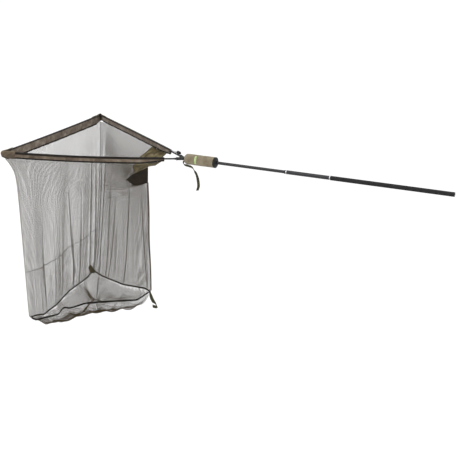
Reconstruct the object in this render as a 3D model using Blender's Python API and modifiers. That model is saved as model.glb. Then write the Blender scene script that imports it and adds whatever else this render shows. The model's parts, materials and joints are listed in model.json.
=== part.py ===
"""Landing net: telescopic handle, two-arm spreader, sleeves and a deep hanging bag.

Metres, +Z up. The origin is the hand's place on the grip. The handle lies along X with its
butt at +X, the arms spread towards -X, the near arm on -Y, and the bag hangs below them.
"""
import math

import bmesh
import bpy
from mathutils import Matrix, Vector

# Driving dimensions
SPREADER_X = -1.25          # where the two arm lines meet the handle's axis
ARM_REACH = 1.05            # from there to an arm's tip
ARM_HALF_ANGLE = math.radians(28.84)
TIP_RISE = 0.054            # the tips stand this much above the handle's axis
ARM_BOW = 0.018             # outward bow of a loaded arm at mid length
ARM_DROOP = 0.008
ARM_R_BUTT = 0.005
ARM_R_TIP = 0.003

GAP = 0.0003                # clearance between pieces that touch
RUN = 0.00005               # running clearance of the screw thread
SLIDE = 0.00015             # running clearance of the telescoping tubes
TUBE_R = 0.00875            # upper tube
TUBE_WALL = 0.00115
LOWER_R = 0.0112            # lower tube
LOWER_WALL = 0.0012
STEP_U = 0.634              # mouth of the lower tube, from the spreader
OVERLAP = 0.090             # length of upper tube inside the lower one
RING_U = 0.898              # ring in front of the grip
RING_WIDTH = 0.005
RING_RISE = 0.001           # height of a ring above the lower tube
BUTT_U = 1.586
BUTT_FLANGE = 0.006
BUTT_PLUG = 0.034           # length of the butt cap inside the tube
GRIP_R = 0.0124
COLLAR_BUSH = 0.060         # length of the fixed bush inside the lower tube
GUIDE_BUSH = 0.020          # and of the bush that rides on the upper tube

FLOAT_R = 0.0315
FLOAT_START = 0.004
FLOAT_END = 0.209
FLOAT_BORE = 0.0089
FLOAT_CORE = 0.0015         # wall of the liner between the foam and the tube
FLOAT_SHOULDER = 0.020      # length of the rounded front shoulder
FLOAT_ROUNDING = 0.017      # how far the shoulder draws in
CAP_LENGTH = 0.015
CAP_CHAMFER = 0.007
CAP_FACE_R = 0.021
LABEL_START = 0.077
LABEL_END = 0.089
LABEL_RISE = 0.0008         # the label's middle above the foam

STUD_R = 0.00476            # 3/8 inch thread
STUD_ENGAGED = 0.0100
STUD_CHAMFER = 0.0008
INSERT_LENGTH = 0.022
INSERT_FLANGE = 0.002
WASHER = 0.0020
WASHER_R = 0.0085

SOCKET_R = 0.0090
SOCKET_START = 0.016
SOCKET_END = 0.046
SOCKET_BORE = 0.0065
COLLAR_R = 0.011
COLLAR_LENGTH = 0.004
FERRULE_LENGTH = 0.042
HUB_LENGTH = 0.014
HUB_R = 0.0105
TIP_CAP_R = 0.0046
TIP_CAP_LENGTH = 0.016
TIP_INSET = 0.010           # the cord's anchor, back from an arm's tip
CORD_R = 0.0015
CORD_SAG = 0.004

CLOTH = 0.0012              # thickness of the sleeves' fabric
PATCH = 0.0018
STRAP = 0.0016
STRAP_WIDTH = 0.022
NET = 0.0010                # thickness of a net panel
TAPE = 0.0020
TAPE_WIDTH = 0.008
SLEEVE_TOP = 0.0080         # a sleeve's upper fold above the arm's centre line
SIDE_DROP = 0.028           # its lower edge below the centre line, on the arms
FRONT_DROP = 0.045          # and on the cord between the tips
SLEEVE_START = 0.120        # rear end of the near sleeve, along the arm
FAR_SLEEVE_START = 0.150
SLEEVE_END = 1.000

SEAM_TOP = (0.0, -0.098)    # (y, z) of the rear seam's upper end
GUSSET_NEAR = 0.285         # where the gusset's front edge meets each arm
GUSSET_FAR = 0.385
GUSSET_REAR = 0.165
CHEEK_FRONT = (-0.350, 0.052, -0.149)
SEAM_HIGH = (-0.248, 0.0, -0.083)
SEAM_LOW_U = -0.2545
PATCH_FRONT = (-0.315, 0.033, -0.200)
PATCH_REAR = (-0.257, 0.0, -0.182)
BASE_REAR = (-0.265, 0.0, -0.890)
BASE_NEAR = (-0.880, -0.425, -1.017)
BASE_FAR = (-0.920, 0.345, -0.992)
BASE_SAG = 0.105
HEM = 0.006                 # a net panel ends this much above its seam
UNDER_SLEEVE = 0.0022       # and starts this much below a sleeve
NEAR_SEAM_Z = (-0.890, -0.942, -0.955, -0.944, -0.943, -0.946, -0.972, -1.006, -1.017, -1.017)
FAR_SEAM_Z = (-0.890, -0.909, -0.940, -0.966, -0.981, -0.995, -0.992)
FRONT_SEAM_Z = (-1.017, -1.055, -1.058, -1.043, -1.027, -1.014, -1.016, -0.992)
# How far the near front corner hangs back from a straight line, at shares of its depth
BOW_SHARES = (0.0, 0.07, 0.16, 0.25, 0.44, 0.63, 0.81, 1.0)
NEAR_BOW = (0.0, 0.040, 0.047, 0.044, 0.034, 0.018, 0.004, 0.0)

LOCK_S = 0.062              # rear end of the cord lock, along the far arm
LOCK_RISE = 0.0165          # its axis above the arm
LOCK_R = 0.0092
LOCK_BORE = 0.0066
LOCK_LENGTH = 0.026
LOCK_HOLE = 0.012           # its cross hole, from the rear end
LOCK_HOLE_R = 0.0024
BUTTON_R = 0.0060
BUTTON_FRONT = 0.0185
BUTTON_REAR = -0.0075
ELASTIC_R = 0.00125

ROUND = 32                  # steps round the larger turned pieces
SMALL_ROUND = 20
X_AXIS = Vector((1.0, 0.0, 0.0))
UP = Vector((0.0, 0.0, 1.0))

COLOURS = {                 # base colour, roughness, metallic
    "carbon": ((0.012, 0.013, 0.015), 0.28, 0.0),
    "grip": ((0.010, 0.010, 0.010), 0.75, 0.0),
    "bright": ((0.60, 0.60, 0.62), 0.25, 1.0),
    "black_plastic": ((0.012, 0.012, 0.013), 0.50, 0.0),
    "alloy": ((0.10, 0.105, 0.11), 0.40, 1.0),
    "brass": ((0.55, 0.42, 0.16), 0.35, 1.0),
    "foam": ((0.33, 0.29, 0.19), 0.90, 0.0),
    "green": ((0.33, 0.46, 0.18), 0.80, 0.0),
    "sleeve": ((0.20, 0.165, 0.12), 0.90, 0.0),
    "olive": ((0.20, 0.165, 0.085), 0.90, 0.0),
    "dark_cloth": ((0.030, 0.022, 0.013), 0.95, 0.0),
    "webbing": ((0.045, 0.042, 0.025), 0.95, 0.0),
    "net": ((0.045, 0.040, 0.030), 0.90, 0.0),
    "cord": ((0.015, 0.014, 0.012), 0.85, 0.0),
}


def at(u, y=0.0, z=0.0):
    """A point given from the spreader, u metres towards the butt."""
    return Vector((SPREADER_X + u, y, z))


def arm_point(side, s, drop=0.0):
    """A point on an arm's centre line, s metres out from the spreader; side is -1 near, 1 far."""
    t = s / ARM_REACH
    bulge = 4.0 * t * (1.0 - t)
    along = Vector((-math.cos(ARM_HALF_ANGLE), side * math.sin(ARM_HALF_ANGLE), TIP_RISE / ARM_REACH))
    outward = Vector((math.sin(ARM_HALF_ANGLE), side * math.cos(ARM_HALF_ANGLE), 0.0))
    return at(0.0) + along * s + outward * ARM_BOW * bulge - UP * (ARM_DROOP * bulge + drop)


def arm_direction(side, s):
    return (arm_point(side, s + 0.001) - arm_point(side, s - 0.001)).normalized()


def clear_scene():
    for thing in list(bpy.data.objects):
        bpy.data.objects.remove(thing, do_unlink=True)


def new_collection(name):
    found = bpy.data.collections.new(name)
    bpy.context.scene.collection.children.link(found)
    return found


clear_scene()
PARTS = new_collection("landing_net")
CUTTERS = new_collection("cutters")


def material(name):
    found = bpy.data.materials.get(name)
    if found:
        return found
    colour, roughness, metallic = COLOURS[name]
    found = bpy.data.materials.new(name)
    found.use_nodes = True
    shader = found.node_tree.nodes["Principled BSDF"]
    shader.inputs["Base Color"].default_value = (*colour, 1.0)
    shader.inputs["Roughness"].default_value = roughness
    shader.inputs["Metallic"].default_value = metallic
    return found


def add_object(name, data, finish, place=None):
    thing = bpy.data.objects.new(name, data)
    PARTS.objects.link(thing)
    data.materials.append(material(finish))
    if place:
        thing.matrix_world = place
    return thing


def facing(point, direction):
    """The placing that turns local +Z to a direction, at a point."""
    turn = UP.rotation_difference(direction).to_matrix().to_4x4()
    return Matrix.Translation(point) @ turn


def turned(name, outline, point, direction, finish, closed=True, steps=ROUND):
    """A turned piece: the outline's (along, radius) pairs run down its outer side."""
    points = [(radius, 0.0, along) for along, radius in outline]
    edges = [(i, i + 1) for i in range(len(points) - 1)]
    if closed:
        edges.append((len(points) - 1, 0))
    mesh = bpy.data.meshes.new(name)
    mesh.from_pydata(points, edges, [])
    thing = add_object(name, mesh, finish, facing(point, direction))
    screw = thing.modifiers.new("turn", "SCREW")
    screw.steps = steps
    screw.render_steps = steps
    screw.use_merge_vertices = True
    screw.merge_threshold = 0.00001
    return thing


def ring(start, end, inner, outer):
    """The outline of a plain ring, from its far end down the outer side and back inside."""
    return [(end, inner), (end, outer), (start, outer), (start, inner)]


def tube_on_handle(name, start, end, inner, outer, finish, steps=ROUND):
    return turned(name, ring(start, end, inner, outer), at(0.0), X_AXIS, finish, steps=steps)


def cloth(name, grids, thickness, finish, wrap=False):
    """A fabric piece: rows of points joined to a surface, welded, and given a thickness."""
    shape = bmesh.new()
    for rows in grids:
        made = [[shape.verts.new(point) for point in row] for row in rows]
        for above, below in zip(made, made[1:]):
            count = len(above) if wrap else len(above) - 1
            for i in range(count):
                j = (i + 1) % len(above)
                shape.faces.new((above[i], above[j], below[j], below[i]))
    bmesh.ops.remove_doubles(shape, verts=shape.verts, dist=0.00001)
    bmesh.ops.recalc_face_normals(shape, faces=shape.faces)
    mesh = bpy.data.meshes.new(name)
    shape.to_mesh(mesh)
    shape.free()
    thing = add_object(name, mesh, finish)
    solid = thing.modifiers.new("thickness", "SOLIDIFY")
    solid.thickness = thickness
    solid.offset = 0.0
    return thing


def rod(name, points, radii, finish, resolution=3):
    """A round bar along a path, with its own radius at each point and closed ends."""
    curve = bpy.data.curves.new(name, "CURVE")
    curve.dimensions = "3D"
    curve.bevel_depth = 1.0
    curve.bevel_resolution = resolution
    curve.use_fill_caps = True
    spline = curve.splines.new("POLY")
    spline.points.add(len(points) - 1)
    for knot, point, radius in zip(spline.points, points, radii):
        knot.co = (*point, 1.0)
        knot.radius = radius
    return add_object(name, curve, finish)


def spaced(count):
    return [i / (count - 1) for i in range(count)]


def through(points, shares, t):
    """The point at t on a broken line whose corners lie at the given shares."""
    for a, b, low, high in zip(points, points[1:], shares, shares[1:]):
        if t <= high:
            return a.lerp(b, (t - low) / (high - low))
    return points[-1].copy()


def patch(top, bottom, rear, front, across, down):
    """A Coons patch between four edges, each a function of a share from 0 to 1."""
    rows = []
    for v in spaced(down):
        row = []
        for w in spaced(across):
            edges = (1 - v) * top(w) + v * bottom(w) + (1 - w) * rear(v) + w * front(v)
            corners = (1 - v) * ((1 - w) * top(0.0) + w * top(1.0))
            corners += v * ((1 - w) * bottom(0.0) + w * bottom(1.0))
            row.append(edges - corners)
        rows.append(row)
    return rows


# Handle -----------------------------------------------------------------------------------

def lower_handle():
    bore = LOWER_R - LOWER_WALL
    end = BUTT_U - BUTT_FLANGE
    ring_outer = LOWER_R + RING_RISE
    collar = STEP_U + 0.006
    tube_on_handle("lower_tube", STEP_U, end - GAP, bore, LOWER_R, "carbon")
    tube_on_handle("grip_wrap", RING_U + RING_WIDTH + 0.001, end - GAP, LOWER_R + GAP, GRIP_R, "grip")
    tube_on_handle("trim_ring", RING_U, RING_U + RING_WIDTH, LOWER_R + GAP, ring_outer, "bright")
    tube_on_handle("collar_ring", collar, collar + RING_WIDTH, LOWER_R + GAP, ring_outer, "bright")
    inner = TUBE_R + SLIDE
    outer = bore - GAP
    flange = STEP_U - GAP
    bush = [(STEP_U + COLLAR_BUSH, inner), (STEP_U + COLLAR_BUSH, outer), (flange, outer)]
    bush += [(flange, LOWER_R), (flange - 0.003, LOWER_R - 0.001), (flange - 0.003, inner)]
    turned("collar_bush", bush, at(0.0), X_AXIS, "black_plastic")
    plug = bore - GAP
    cap = [(BUTT_U, 0.0), (BUTT_U, GRIP_R - 0.001), (BUTT_U - 0.001, GRIP_R), (end, GRIP_R)]
    cap += [(end, plug), (end - BUTT_PLUG, plug), (end - BUTT_PLUG, 0.0)]
    turned("butt_cap", cap, at(0.0), X_AXIS, "black_plastic", closed=False)


def upper_handle():
    bore = TUBE_R - TUBE_WALL
    front = WASHER + 2 * GAP
    rear = STEP_U + OVERLAP
    flange = front + INSERT_FLANGE
    tube_on_handle("upper_tube", flange + GAP, rear, bore, TUBE_R, "carbon")
    guide = LOWER_R - LOWER_WALL - SLIDE
    tube_on_handle("guide_bush", rear - GUIDE_BUSH, rear, TUBE_R + GAP, guide, "black_plastic")
    hole = STUD_R + RUN
    insert = [(front + INSERT_LENGTH, hole), (front + INSERT_LENGTH, bore - GAP), (flange, bore - GAP)]
    insert += [(flange, TUBE_R), (front, TUBE_R), (front, hole)]
    turned("threaded_insert", insert, at(0.0), X_AXIS, "brass")


def float_outline():
    """The foam's outline: a plain rear end, straight side and an elliptical front shoulder."""
    inner = FLOAT_BORE + FLOAT_CORE
    rear = FLOAT_END - CAP_LENGTH - GAP
    outline = [(rear, inner), (rear, FLOAT_R)]
    for step in range(7):
        angle = math.radians(15.0 * step)
        across = FLOAT_R - FLOAT_ROUNDING * (1.0 - math.cos(angle))
        outline.append((FLOAT_START + FLOAT_SHOULDER * (1.0 - math.sin(angle)), across))
    outline.append((FLOAT_START, inner))
    return outline


def float_pieces():
    turned("float_foam", float_outline(), at(0.0), X_AXIS, "foam")
    inner = FLOAT_BORE + FLOAT_CORE
    inset = 0.002
    core = ring(FLOAT_START + inset, FLOAT_END - inset, FLOAT_BORE, inner - GAP)
    turned("float_core", core, at(0.0), X_AXIS, "black_plastic")
    start = FLOAT_END - CAP_LENGTH
    cap = [(FLOAT_END, inner), (FLOAT_END, CAP_FACE_R), (FLOAT_END - CAP_CHAMFER, FLOAT_R)]
    cap += [(start, FLOAT_R), (start, inner)]
    turned("float_end_cap", cap, at(0.0), X_AXIS, "black_plastic")
    rows = []
    radius = FLOAT_R + LABEL_RISE
    for u in (LABEL_START, LABEL_END):
        row = []
        for t in spaced(9):
            angle = math.radians(-28.0 + 88.0 * t)
            row.append(at(u, -radius * math.cos(angle), radius * math.sin(angle)))
        rows.append(row)
    cloth("float_label", [rows], 0.0006, "green")


# Spreader ---------------------------------------------------------------------------------

def cylinder_mesh(name, start, end, radius, steps):
    mesh = bpy.data.meshes.new(name)
    shape = bmesh.new()
    length = (end - start).length
    place = facing((start + end) / 2, (end - start).normalized())
    bmesh.ops.create_cone(
        shape, cap_ends=True, segments=steps, radius1=radius, radius2=radius, depth=length, matrix=place
    )
    shape.to_mesh(mesh)
    shape.free()
    return mesh


def cylinder(name, start, end, radius, steps=ROUND):
    """A plain closed cylinder between two points, as a cutter or a piece to join."""
    thing = bpy.data.objects.new(name, cylinder_mesh(name, start, end, radius, steps))
    CUTTERS.objects.link(thing)
    thing.hide_render = True
    thing.display_type = "WIRE"
    return thing


def boolean(thing, other, operation):
    step = thing.modifiers.new(other.name, "BOOLEAN")
    step.operation = operation
    step.solver = "EXACT"
    step.object = other


def spreader_block():
    hub = cylinder_mesh("spreader_block", at(-HUB_LENGTH), at(0.0), HUB_R, ROUND)
    block = add_object("spreader_block", hub, "alloy")
    for side, label in ((-1, "near"), (1, "far")):
        start = arm_point(side, SOCKET_R)
        end = arm_point(side, SOCKET_END)
        boolean(block, cylinder(label + "_socket_wall", start, end, SOCKET_R, SMALL_ROUND + 4), "UNION")
    for side, label in ((-1, "near"), (1, "far")):
        start = arm_point(side, SOCKET_START)
        beyond = arm_point(side, SOCKET_END + 0.004)
        bore = cylinder(label + "_socket_bore", start, beyond, SOCKET_BORE, SMALL_ROUND)
        boolean(block, bore, "DIFFERENCE")
    boolean(block, cylinder("stud_bore", at(-HUB_R), at(0.002), STUD_R + GAP), "DIFFERENCE")


def arms_and_fittings():
    stud_end = STUD_ENGAGED + WASHER + 2 * GAP
    stud = [(stud_end, 0.0), (stud_end, STUD_R - STUD_CHAMFER), (stud_end - STUD_CHAMFER, STUD_R)]
    stud += [(-STUD_ENGAGED, STUD_R), (-STUD_ENGAGED, 0.0)]
    turned("spreader_stud", stud, at(0.0), X_AXIS, "brass", closed=False)
    tube_on_handle("lock_washer", GAP, GAP + WASHER, STUD_R + GAP, WASHER_R, "black_plastic")
    for side, label in ((-1, "near"), (1, "far")):
        direction = arm_direction(side, 0.03)
        mouth = arm_point(side, SOCKET_END)
        lip = GAP + COLLAR_LENGTH
        collar = [(lip, SOCKET_BORE), (lip, COLLAR_R - 0.0015), (lip - 0.0015, COLLAR_R)]
        collar += [(GAP, COLLAR_R), (GAP, SOCKET_BORE)]
        turned(label + "_socket_collar", collar, mouth, direction, "black_plastic", steps=SMALL_ROUND)
        seat = SOCKET_START + 0.002
        ferrule = ring(0.0, FERRULE_LENGTH, ARM_R_BUTT + GAP, SOCKET_BORE - GAP)
        turned(label + "_ferrule", ferrule, arm_point(side, seat), direction, "alloy", steps=SMALL_ROUND)
        shares = spaced(16)
        reach = [seat + t * (ARM_REACH - TIP_INSET - seat) for t in shares]
        points = [arm_point(side, s) for s in reach]
        radii = [ARM_R_BUTT + (ARM_R_TIP - ARM_R_BUTT) * max(0.0, t - 0.06) for t in shares]
        rod(label + "_arm", points, radii, "carbon", resolution=2)
        tip = arm_point(side, ARM_REACH - 2 * TIP_INSET)
        heading = arm_direction(side, ARM_REACH - 2 * TIP_INSET)
        wall = ARM_R_TIP + GAP + 0.0002
        end = TIP_CAP_LENGTH
        cap = [(end, 0.0), (end, TIP_CAP_R - 0.0016), (end - 0.0015, TIP_CAP_R)]
        cap += [(0.0, TIP_CAP_R), (0.0, wall), (end - 0.004, wall), (end - 0.004, 0.0)]
        turned(label + "_tip_cap", cap, tip, heading, "black_plastic", closed=False, steps=SMALL_ROUND)


def sagged(t):
    """How far the tip cord hangs below a straight line, at a share t of its length."""
    return UP * CORD_SAG * 4 * t * (1 - t)


def tip_cord():
    """The braided cord between the arm tips, drawn tight."""
    clear = Vector((0.0, 0.0075, 0.0))
    near = arm_point(-1, ARM_REACH - TIP_INSET) + clear
    far = arm_point(1, ARM_REACH - TIP_INSET) - clear
    points = [near.lerp(far, t) - sagged(t) for t in spaced(12)]
    rod("tip_cord", points, [CORD_R] * len(points), "cord", resolution=1)


# Fabric of the mouth ------------------------------------------------------------------------

def sleeve_section(centre, outward, drop):
    """One section round an arm or the cord: a rounded top and sides drawn to the lower seam."""
    half = 0.0080
    outline = [(0.0, SLEEVE_TOP), (0.65 * half, 0.72 * SLEEVE_TOP), (half, 0.0)]
    outline += [(0.80 * half, -0.40 * drop), (0.35 * half, -drop)]
    outline += [(-0.35 * half, -drop), (-0.80 * half, -0.40 * drop)]
    outline += [(-half, 0.0), (-0.65 * half, 0.72 * SLEEVE_TOP)]
    return [centre + outward * across + UP * height for across, height in outline]


def side_drop(s):
    """Depth of a side sleeve below the arm, a little less at its rear end."""
    return SIDE_DROP * min(1.0, 0.62 + (s - SLEEVE_START) * 3.0)


def outward_at(side, s):
    return arm_direction(side, s).cross(UP).normalized() * side


def sleeves():
    for side, label in ((-1, "near"), (1, "far")):
        rows = []
        start = SLEEVE_START if side < 0 else FAR_SLEEVE_START
        for t in spaced(22):
            s = start + t * (SLEEVE_END - start)
            rows.append(sleeve_section(arm_point(side, s), outward_at(side, s), side_drop(s)))
        cloth(label + "_sleeve", [rows], CLOTH, "sleeve", wrap=True)
    near = arm_point(-1, ARM_REACH - TIP_INSET)
    far = arm_point(1, ARM_REACH - TIP_INSET)
    rows = []
    for t in spaced(18):
        share = 0.050 + 0.900 * t
        centre = near.lerp(far, share) - sagged(share)
        rows.append(sleeve_section(centre, -X_AXIS, FRONT_DROP))
    cloth("front_sleeve", [rows], CLOTH, "sleeve", wrap=True)


def tip_guards():
    """Open-sided corner pieces: each runs along a side sleeve, round the tip and along the front."""
    for side, label in ((-1, "near"), (1, "far")):
        path = [(arm_point(side, s), outward_at(side, s), SIDE_DROP) for s in (0.975, 0.999, 1.020)]
        corner = arm_point(side, ARM_REACH - TIP_INSET)
        diagonal = (outward_at(side, 1.03) - X_AXIS).normalized()
        path.append((corner + diagonal * 0.013, diagonal, (SIDE_DROP + FRONT_DROP) / 2))
        for reach in (0.035, 0.060, 0.085):
            centre = corner - Vector((0.0, side * reach, 0.001))
            path.append((centre, -X_AXIS, FRONT_DROP))
        rows = []
        for centre, outward, drop in path:
            outline = [(0.004, 0.0108), (0.0085, 0.0075), (0.0110, 0.0)]
            outline += [(0.0100, -0.40 * drop), (0.0070, -drop)]
            rows.append([centre + outward * across + UP * height for across, height in outline])
        cloth(label + "_tip_guard", [rows], CLOTH, "sleeve")


def mirrored(corner, side):
    """A corner given for the far side, taken to the wanted side."""
    return at(corner[0], side * corner[1], corner[2])


def gusset():
    """Two cheeks that close the rear of the mouth and meet at the rear seam."""
    grids = []
    seam_high = at(*SEAM_HIGH)
    seam_low = at(SEAM_LOW_U, *SEAM_TOP)
    seam_share = 5 / 6
    for side, front_s in ((-1, GUSSET_NEAR), (1, GUSSET_FAR)):
        low_front = mirrored(CHEEK_FRONT, side)

        def top(w):
            s = GUSSET_REAR + w * (front_s - GUSSET_REAR)
            return arm_point(side, s, side_drop(s) + 0.003)

        top_rear = top(0.0)
        top_front = top(1.0)
        hollow = top_rear.lerp(seam_high, 0.5) - UP * 0.012
        rear_edge = [top_rear, hollow, seam_high, seam_low]

        def rear(v):
            return through(rear_edge, (0.0, 3 / 6, seam_share, 1.0), v)

        grids.append(
            patch(
                top,
                lambda w: seam_low.lerp(low_front, w),
                rear,
                lambda v: top_front.lerp(low_front, v),
                7, 7,
            )
        )
    return grids


def gusset_pieces():
    grids = gusset()
    cloth("rear_gusset", grids, CLOTH, "olive")
    rows = []
    high = at(SEAM_LOW_U - 0.0004, 0.0, SEAM_TOP[1] - 0.0035)
    for side in (-1, 1):
        top = [high, mirrored(CHEEK_FRONT, side) - UP * 0.004]
        low = [at(*PATCH_REAR), mirrored(PATCH_FRONT, side)]
        rows.append(
            patch(
                lambda w: top[0].lerp(top[1], w),
                lambda w: low[0].lerp(low[1], w),
                lambda v: top[0].lerp(low[0], v),
                lambda v: top[1].lerp(low[1], v),
                5, 4,
            )
        )
    cloth("gusset_reinforcement", rows, PATCH, "dark_cloth")


# Net bag ------------------------------------------------------------------------------------

def seam_point(name, t):
    """A point on a bound seam of the base, at a share t of its way; its heights are evenly spaced."""
    first, last, heights = {
        "near": (BASE_REAR, BASE_NEAR, NEAR_SEAM_Z),
        "far": (BASE_REAR, BASE_FAR, FAR_SEAM_Z),
        "front": (BASE_NEAR, BASE_FAR, FRONT_SEAM_Z),
    }[name]
    place = min(t * (len(heights) - 1), len(heights) - 1.000001)
    step = int(place)
    point = at(*first).lerp(at(*last), t)
    point.z = heights[step] + (heights[step + 1] - heights[step]) * (place - step)
    return point


def corner_bow(side, v):
    """How far a front corner hangs back at a share v of its depth."""
    if side > 0:
        return Vector((0.0, 0.0, 0.0))
    step = max(i for i, share in enumerate(BOW_SHARES[:-1]) if v >= share)
    part = (v - BOW_SHARES[step]) / (BOW_SHARES[step + 1] - BOW_SHARES[step])
    return X_AXIS * (NEAR_BOW[step] + (NEAR_BOW[step + 1] - NEAR_BOW[step]) * part)


def side_panel(side, front_s):
    """A side of the bag, from the gusset and rear seam to the front corner."""
    seam = "near" if side < 0 else "far"
    shift = Vector((0.0, side * 0.0022, 0.0))
    base_front = seam_point(seam, 1.0) + UP * HEM
    base_rear = seam_point(seam, 0.0) + UP * HEM + shift - X_AXIS * 0.002
    ahead = -X_AXIS * 0.006
    start = front_s + 0.006
    end = 0.996
    rear = [
        arm_point(side, start, SIDE_DROP + UNDER_SLEEVE),
        mirrored(CHEEK_FRONT, side) + ahead - UP * 0.001,
        mirrored(PATCH_FRONT, side) + ahead - UP * 0.006,
        at(*PATCH_REAR) + shift - Vector((0.004, 0.0, 0.008)),
        base_rear,
    ]
    tip = arm_point(side, end, SIDE_DROP + UNDER_SLEEVE)

    def top(w):
        return arm_point(side, start + w * (end - start), SIDE_DROP + UNDER_SLEEVE)

    def bottom(w):
        point = base_rear.lerp(base_front, w)
        point.z = seam_point(seam, w).z + HEM
        return point

    def front(v):
        return tip.lerp(base_front, v) + corner_bow(side, v)

    shares = (0.0, 2 / 14, 3 / 14, 4 / 14, 1.0)
    return patch(top, bottom, lambda v: through(rear, shares, v), front, 13, 15)


def front_panel():
    lift = Vector((-0.003, 0.0, HEM))
    inset = Vector((0.0, 0.003, 0.0))
    near_low = seam_point("front", 0.0) + lift + inset
    far_low = seam_point("front", 1.0) + lift - inset
    drop = FRONT_DROP + UNDER_SLEEVE + GAP
    near_top = arm_point(-1, ARM_REACH - TIP_INSET, drop) + Vector((-0.001, 0.018, 0.0))
    far_top = arm_point(1, ARM_REACH - TIP_INSET, drop) + Vector((-0.001, -0.018, 0.0))

    def bottom(w):
        point = near_low.lerp(far_low, w)
        point.z = seam_point("front", w).z + HEM
        return point

    return patch(
        lambda w: near_top.lerp(far_top, w) - sagged(w),
        bottom,
        lambda v: near_top.lerp(near_low, v) + corner_bow(-1, v),
        lambda v: far_top.lerp(far_low, v),
        15, 13,
    )


def base_panel():
    """The base: a triangle that sags between its three bound seams."""
    rear_inset = Vector((-0.012, 0.0, -0.001))
    near_inset = Vector((0.004, 0.006, -0.001))
    far_inset = Vector((0.004, -0.006, -0.001))
    rows = []
    for v in spaced(11):
        near = seam_point("near", v) + rear_inset.lerp(near_inset, v)
        far = seam_point("far", v) + rear_inset.lerp(far_inset, v)
        row = []
        for w in spaced(13):
            point = near.lerp(far, w)
            level = seam_point("near", 1.0).lerp(seam_point("far", 1.0), w).z
            point.z += (seam_point("front", w).z - level) * v ** 3
            share = 4 * v * (1 - v) * 4 * w * (1 - w)
            point.z -= BASE_SAG * share ** 0.8
            row.append(point)
        rows.append(row)
    return rows


def nets():
    cloth("near_net", [side_panel(-1, GUSSET_NEAR)], NET, "net")
    cloth("far_net", [side_panel(1, GUSSET_FAR)], NET, "net")
    cloth("front_net", [front_panel()], NET, "net")
    cloth("base_net", [base_panel()], NET, "net")


def tape(name, points, across, width, finish="dark_cloth", thickness=TAPE):
    """A flat tape along a path, its width laid along a direction at each point."""
    rows = []
    for point, direction in zip(points, across):
        half = direction * width / 2
        rows.append([point - half, point + half])
    return cloth(name, [rows], thickness, finish)


def seam_tapes():
    top = at(*PATCH_REAR) - Vector((-0.0040, 0.0, 0.0060))
    bottom = at(*BASE_REAR) + Vector((0.0040, 0.0, 0.0080))
    points = [top.lerp(bottom, t) for t in spaced(9)]
    tape("rear_seam_tape", points, [X_AXIS] * 9, TAPE_WIDTH)
    for name in ("near", "far", "front"):
        points = [seam_point(name, 0.014 + 0.972 * t) for t in spaced(13)]
        tape(name + "_base_tape", points, [UP] * 13, TAPE_WIDTH)


def corner_tabs():
    start = at(*BASE_REAR) + Vector((0.001, 0.0, -0.012))
    path = [(-0.004, 0.0), (0.002, -0.030), (0.020, -0.060), (0.018, -0.090), (0.036, -0.102)]
    path += [(0.052, -0.094), (0.058, -0.068), (0.040, -0.052)]
    points = [start + Vector((along, 0.0, height)) for along, height in path]
    tape("rear_corner_tab", points, [Vector((0.0, 1.0, 0.0))] * len(points), STRAP_WIDTH, "webbing", STRAP)
    corner = at(*BASE_FAR)
    path = [(-0.012, 0.0, 0.012), (-0.030, 0.010, 0.020), (-0.046, 0.022, 0.012), (-0.052, 0.026, -0.006)]
    points = [corner + Vector(offset) for offset in path]
    tape("far_corner_tab", points, [Vector((0.5, 0.86, 0.0))] * len(points), STRAP_WIDTH, "webbing", STRAP)


# Small fittings -----------------------------------------------------------------------------

def tie_strap():
    path = [(-0.0045, -0.004, -0.0125), (-0.003, -0.016, -0.0235), (0.008, -0.024, -0.0300)]
    path += [(0.030, -0.0225, -0.0335), (0.052, -0.022, -0.0375), (0.066, -0.022, -0.0470)]
    path += [(0.078, -0.022, -0.0640), (0.090, -0.022, -0.0900), (0.096, -0.021, -0.1200)]
    path += [(0.097, -0.020, -0.1500), (0.088, -0.018, -0.1780)]
    points = [at(*place) for place in path]
    turns = [(0, 0.93, -0.36)] * 2 + [(0, 0.83, -0.55)] * 3 + [(0.2, 0.95, -0.2)] * 2 + [(0.4, 0.9, 0.0)] * 4
    tape("tie_strap", points, [Vector(turn).normalized() for turn in turns], 0.013, "webbing", 0.0014)


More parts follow.
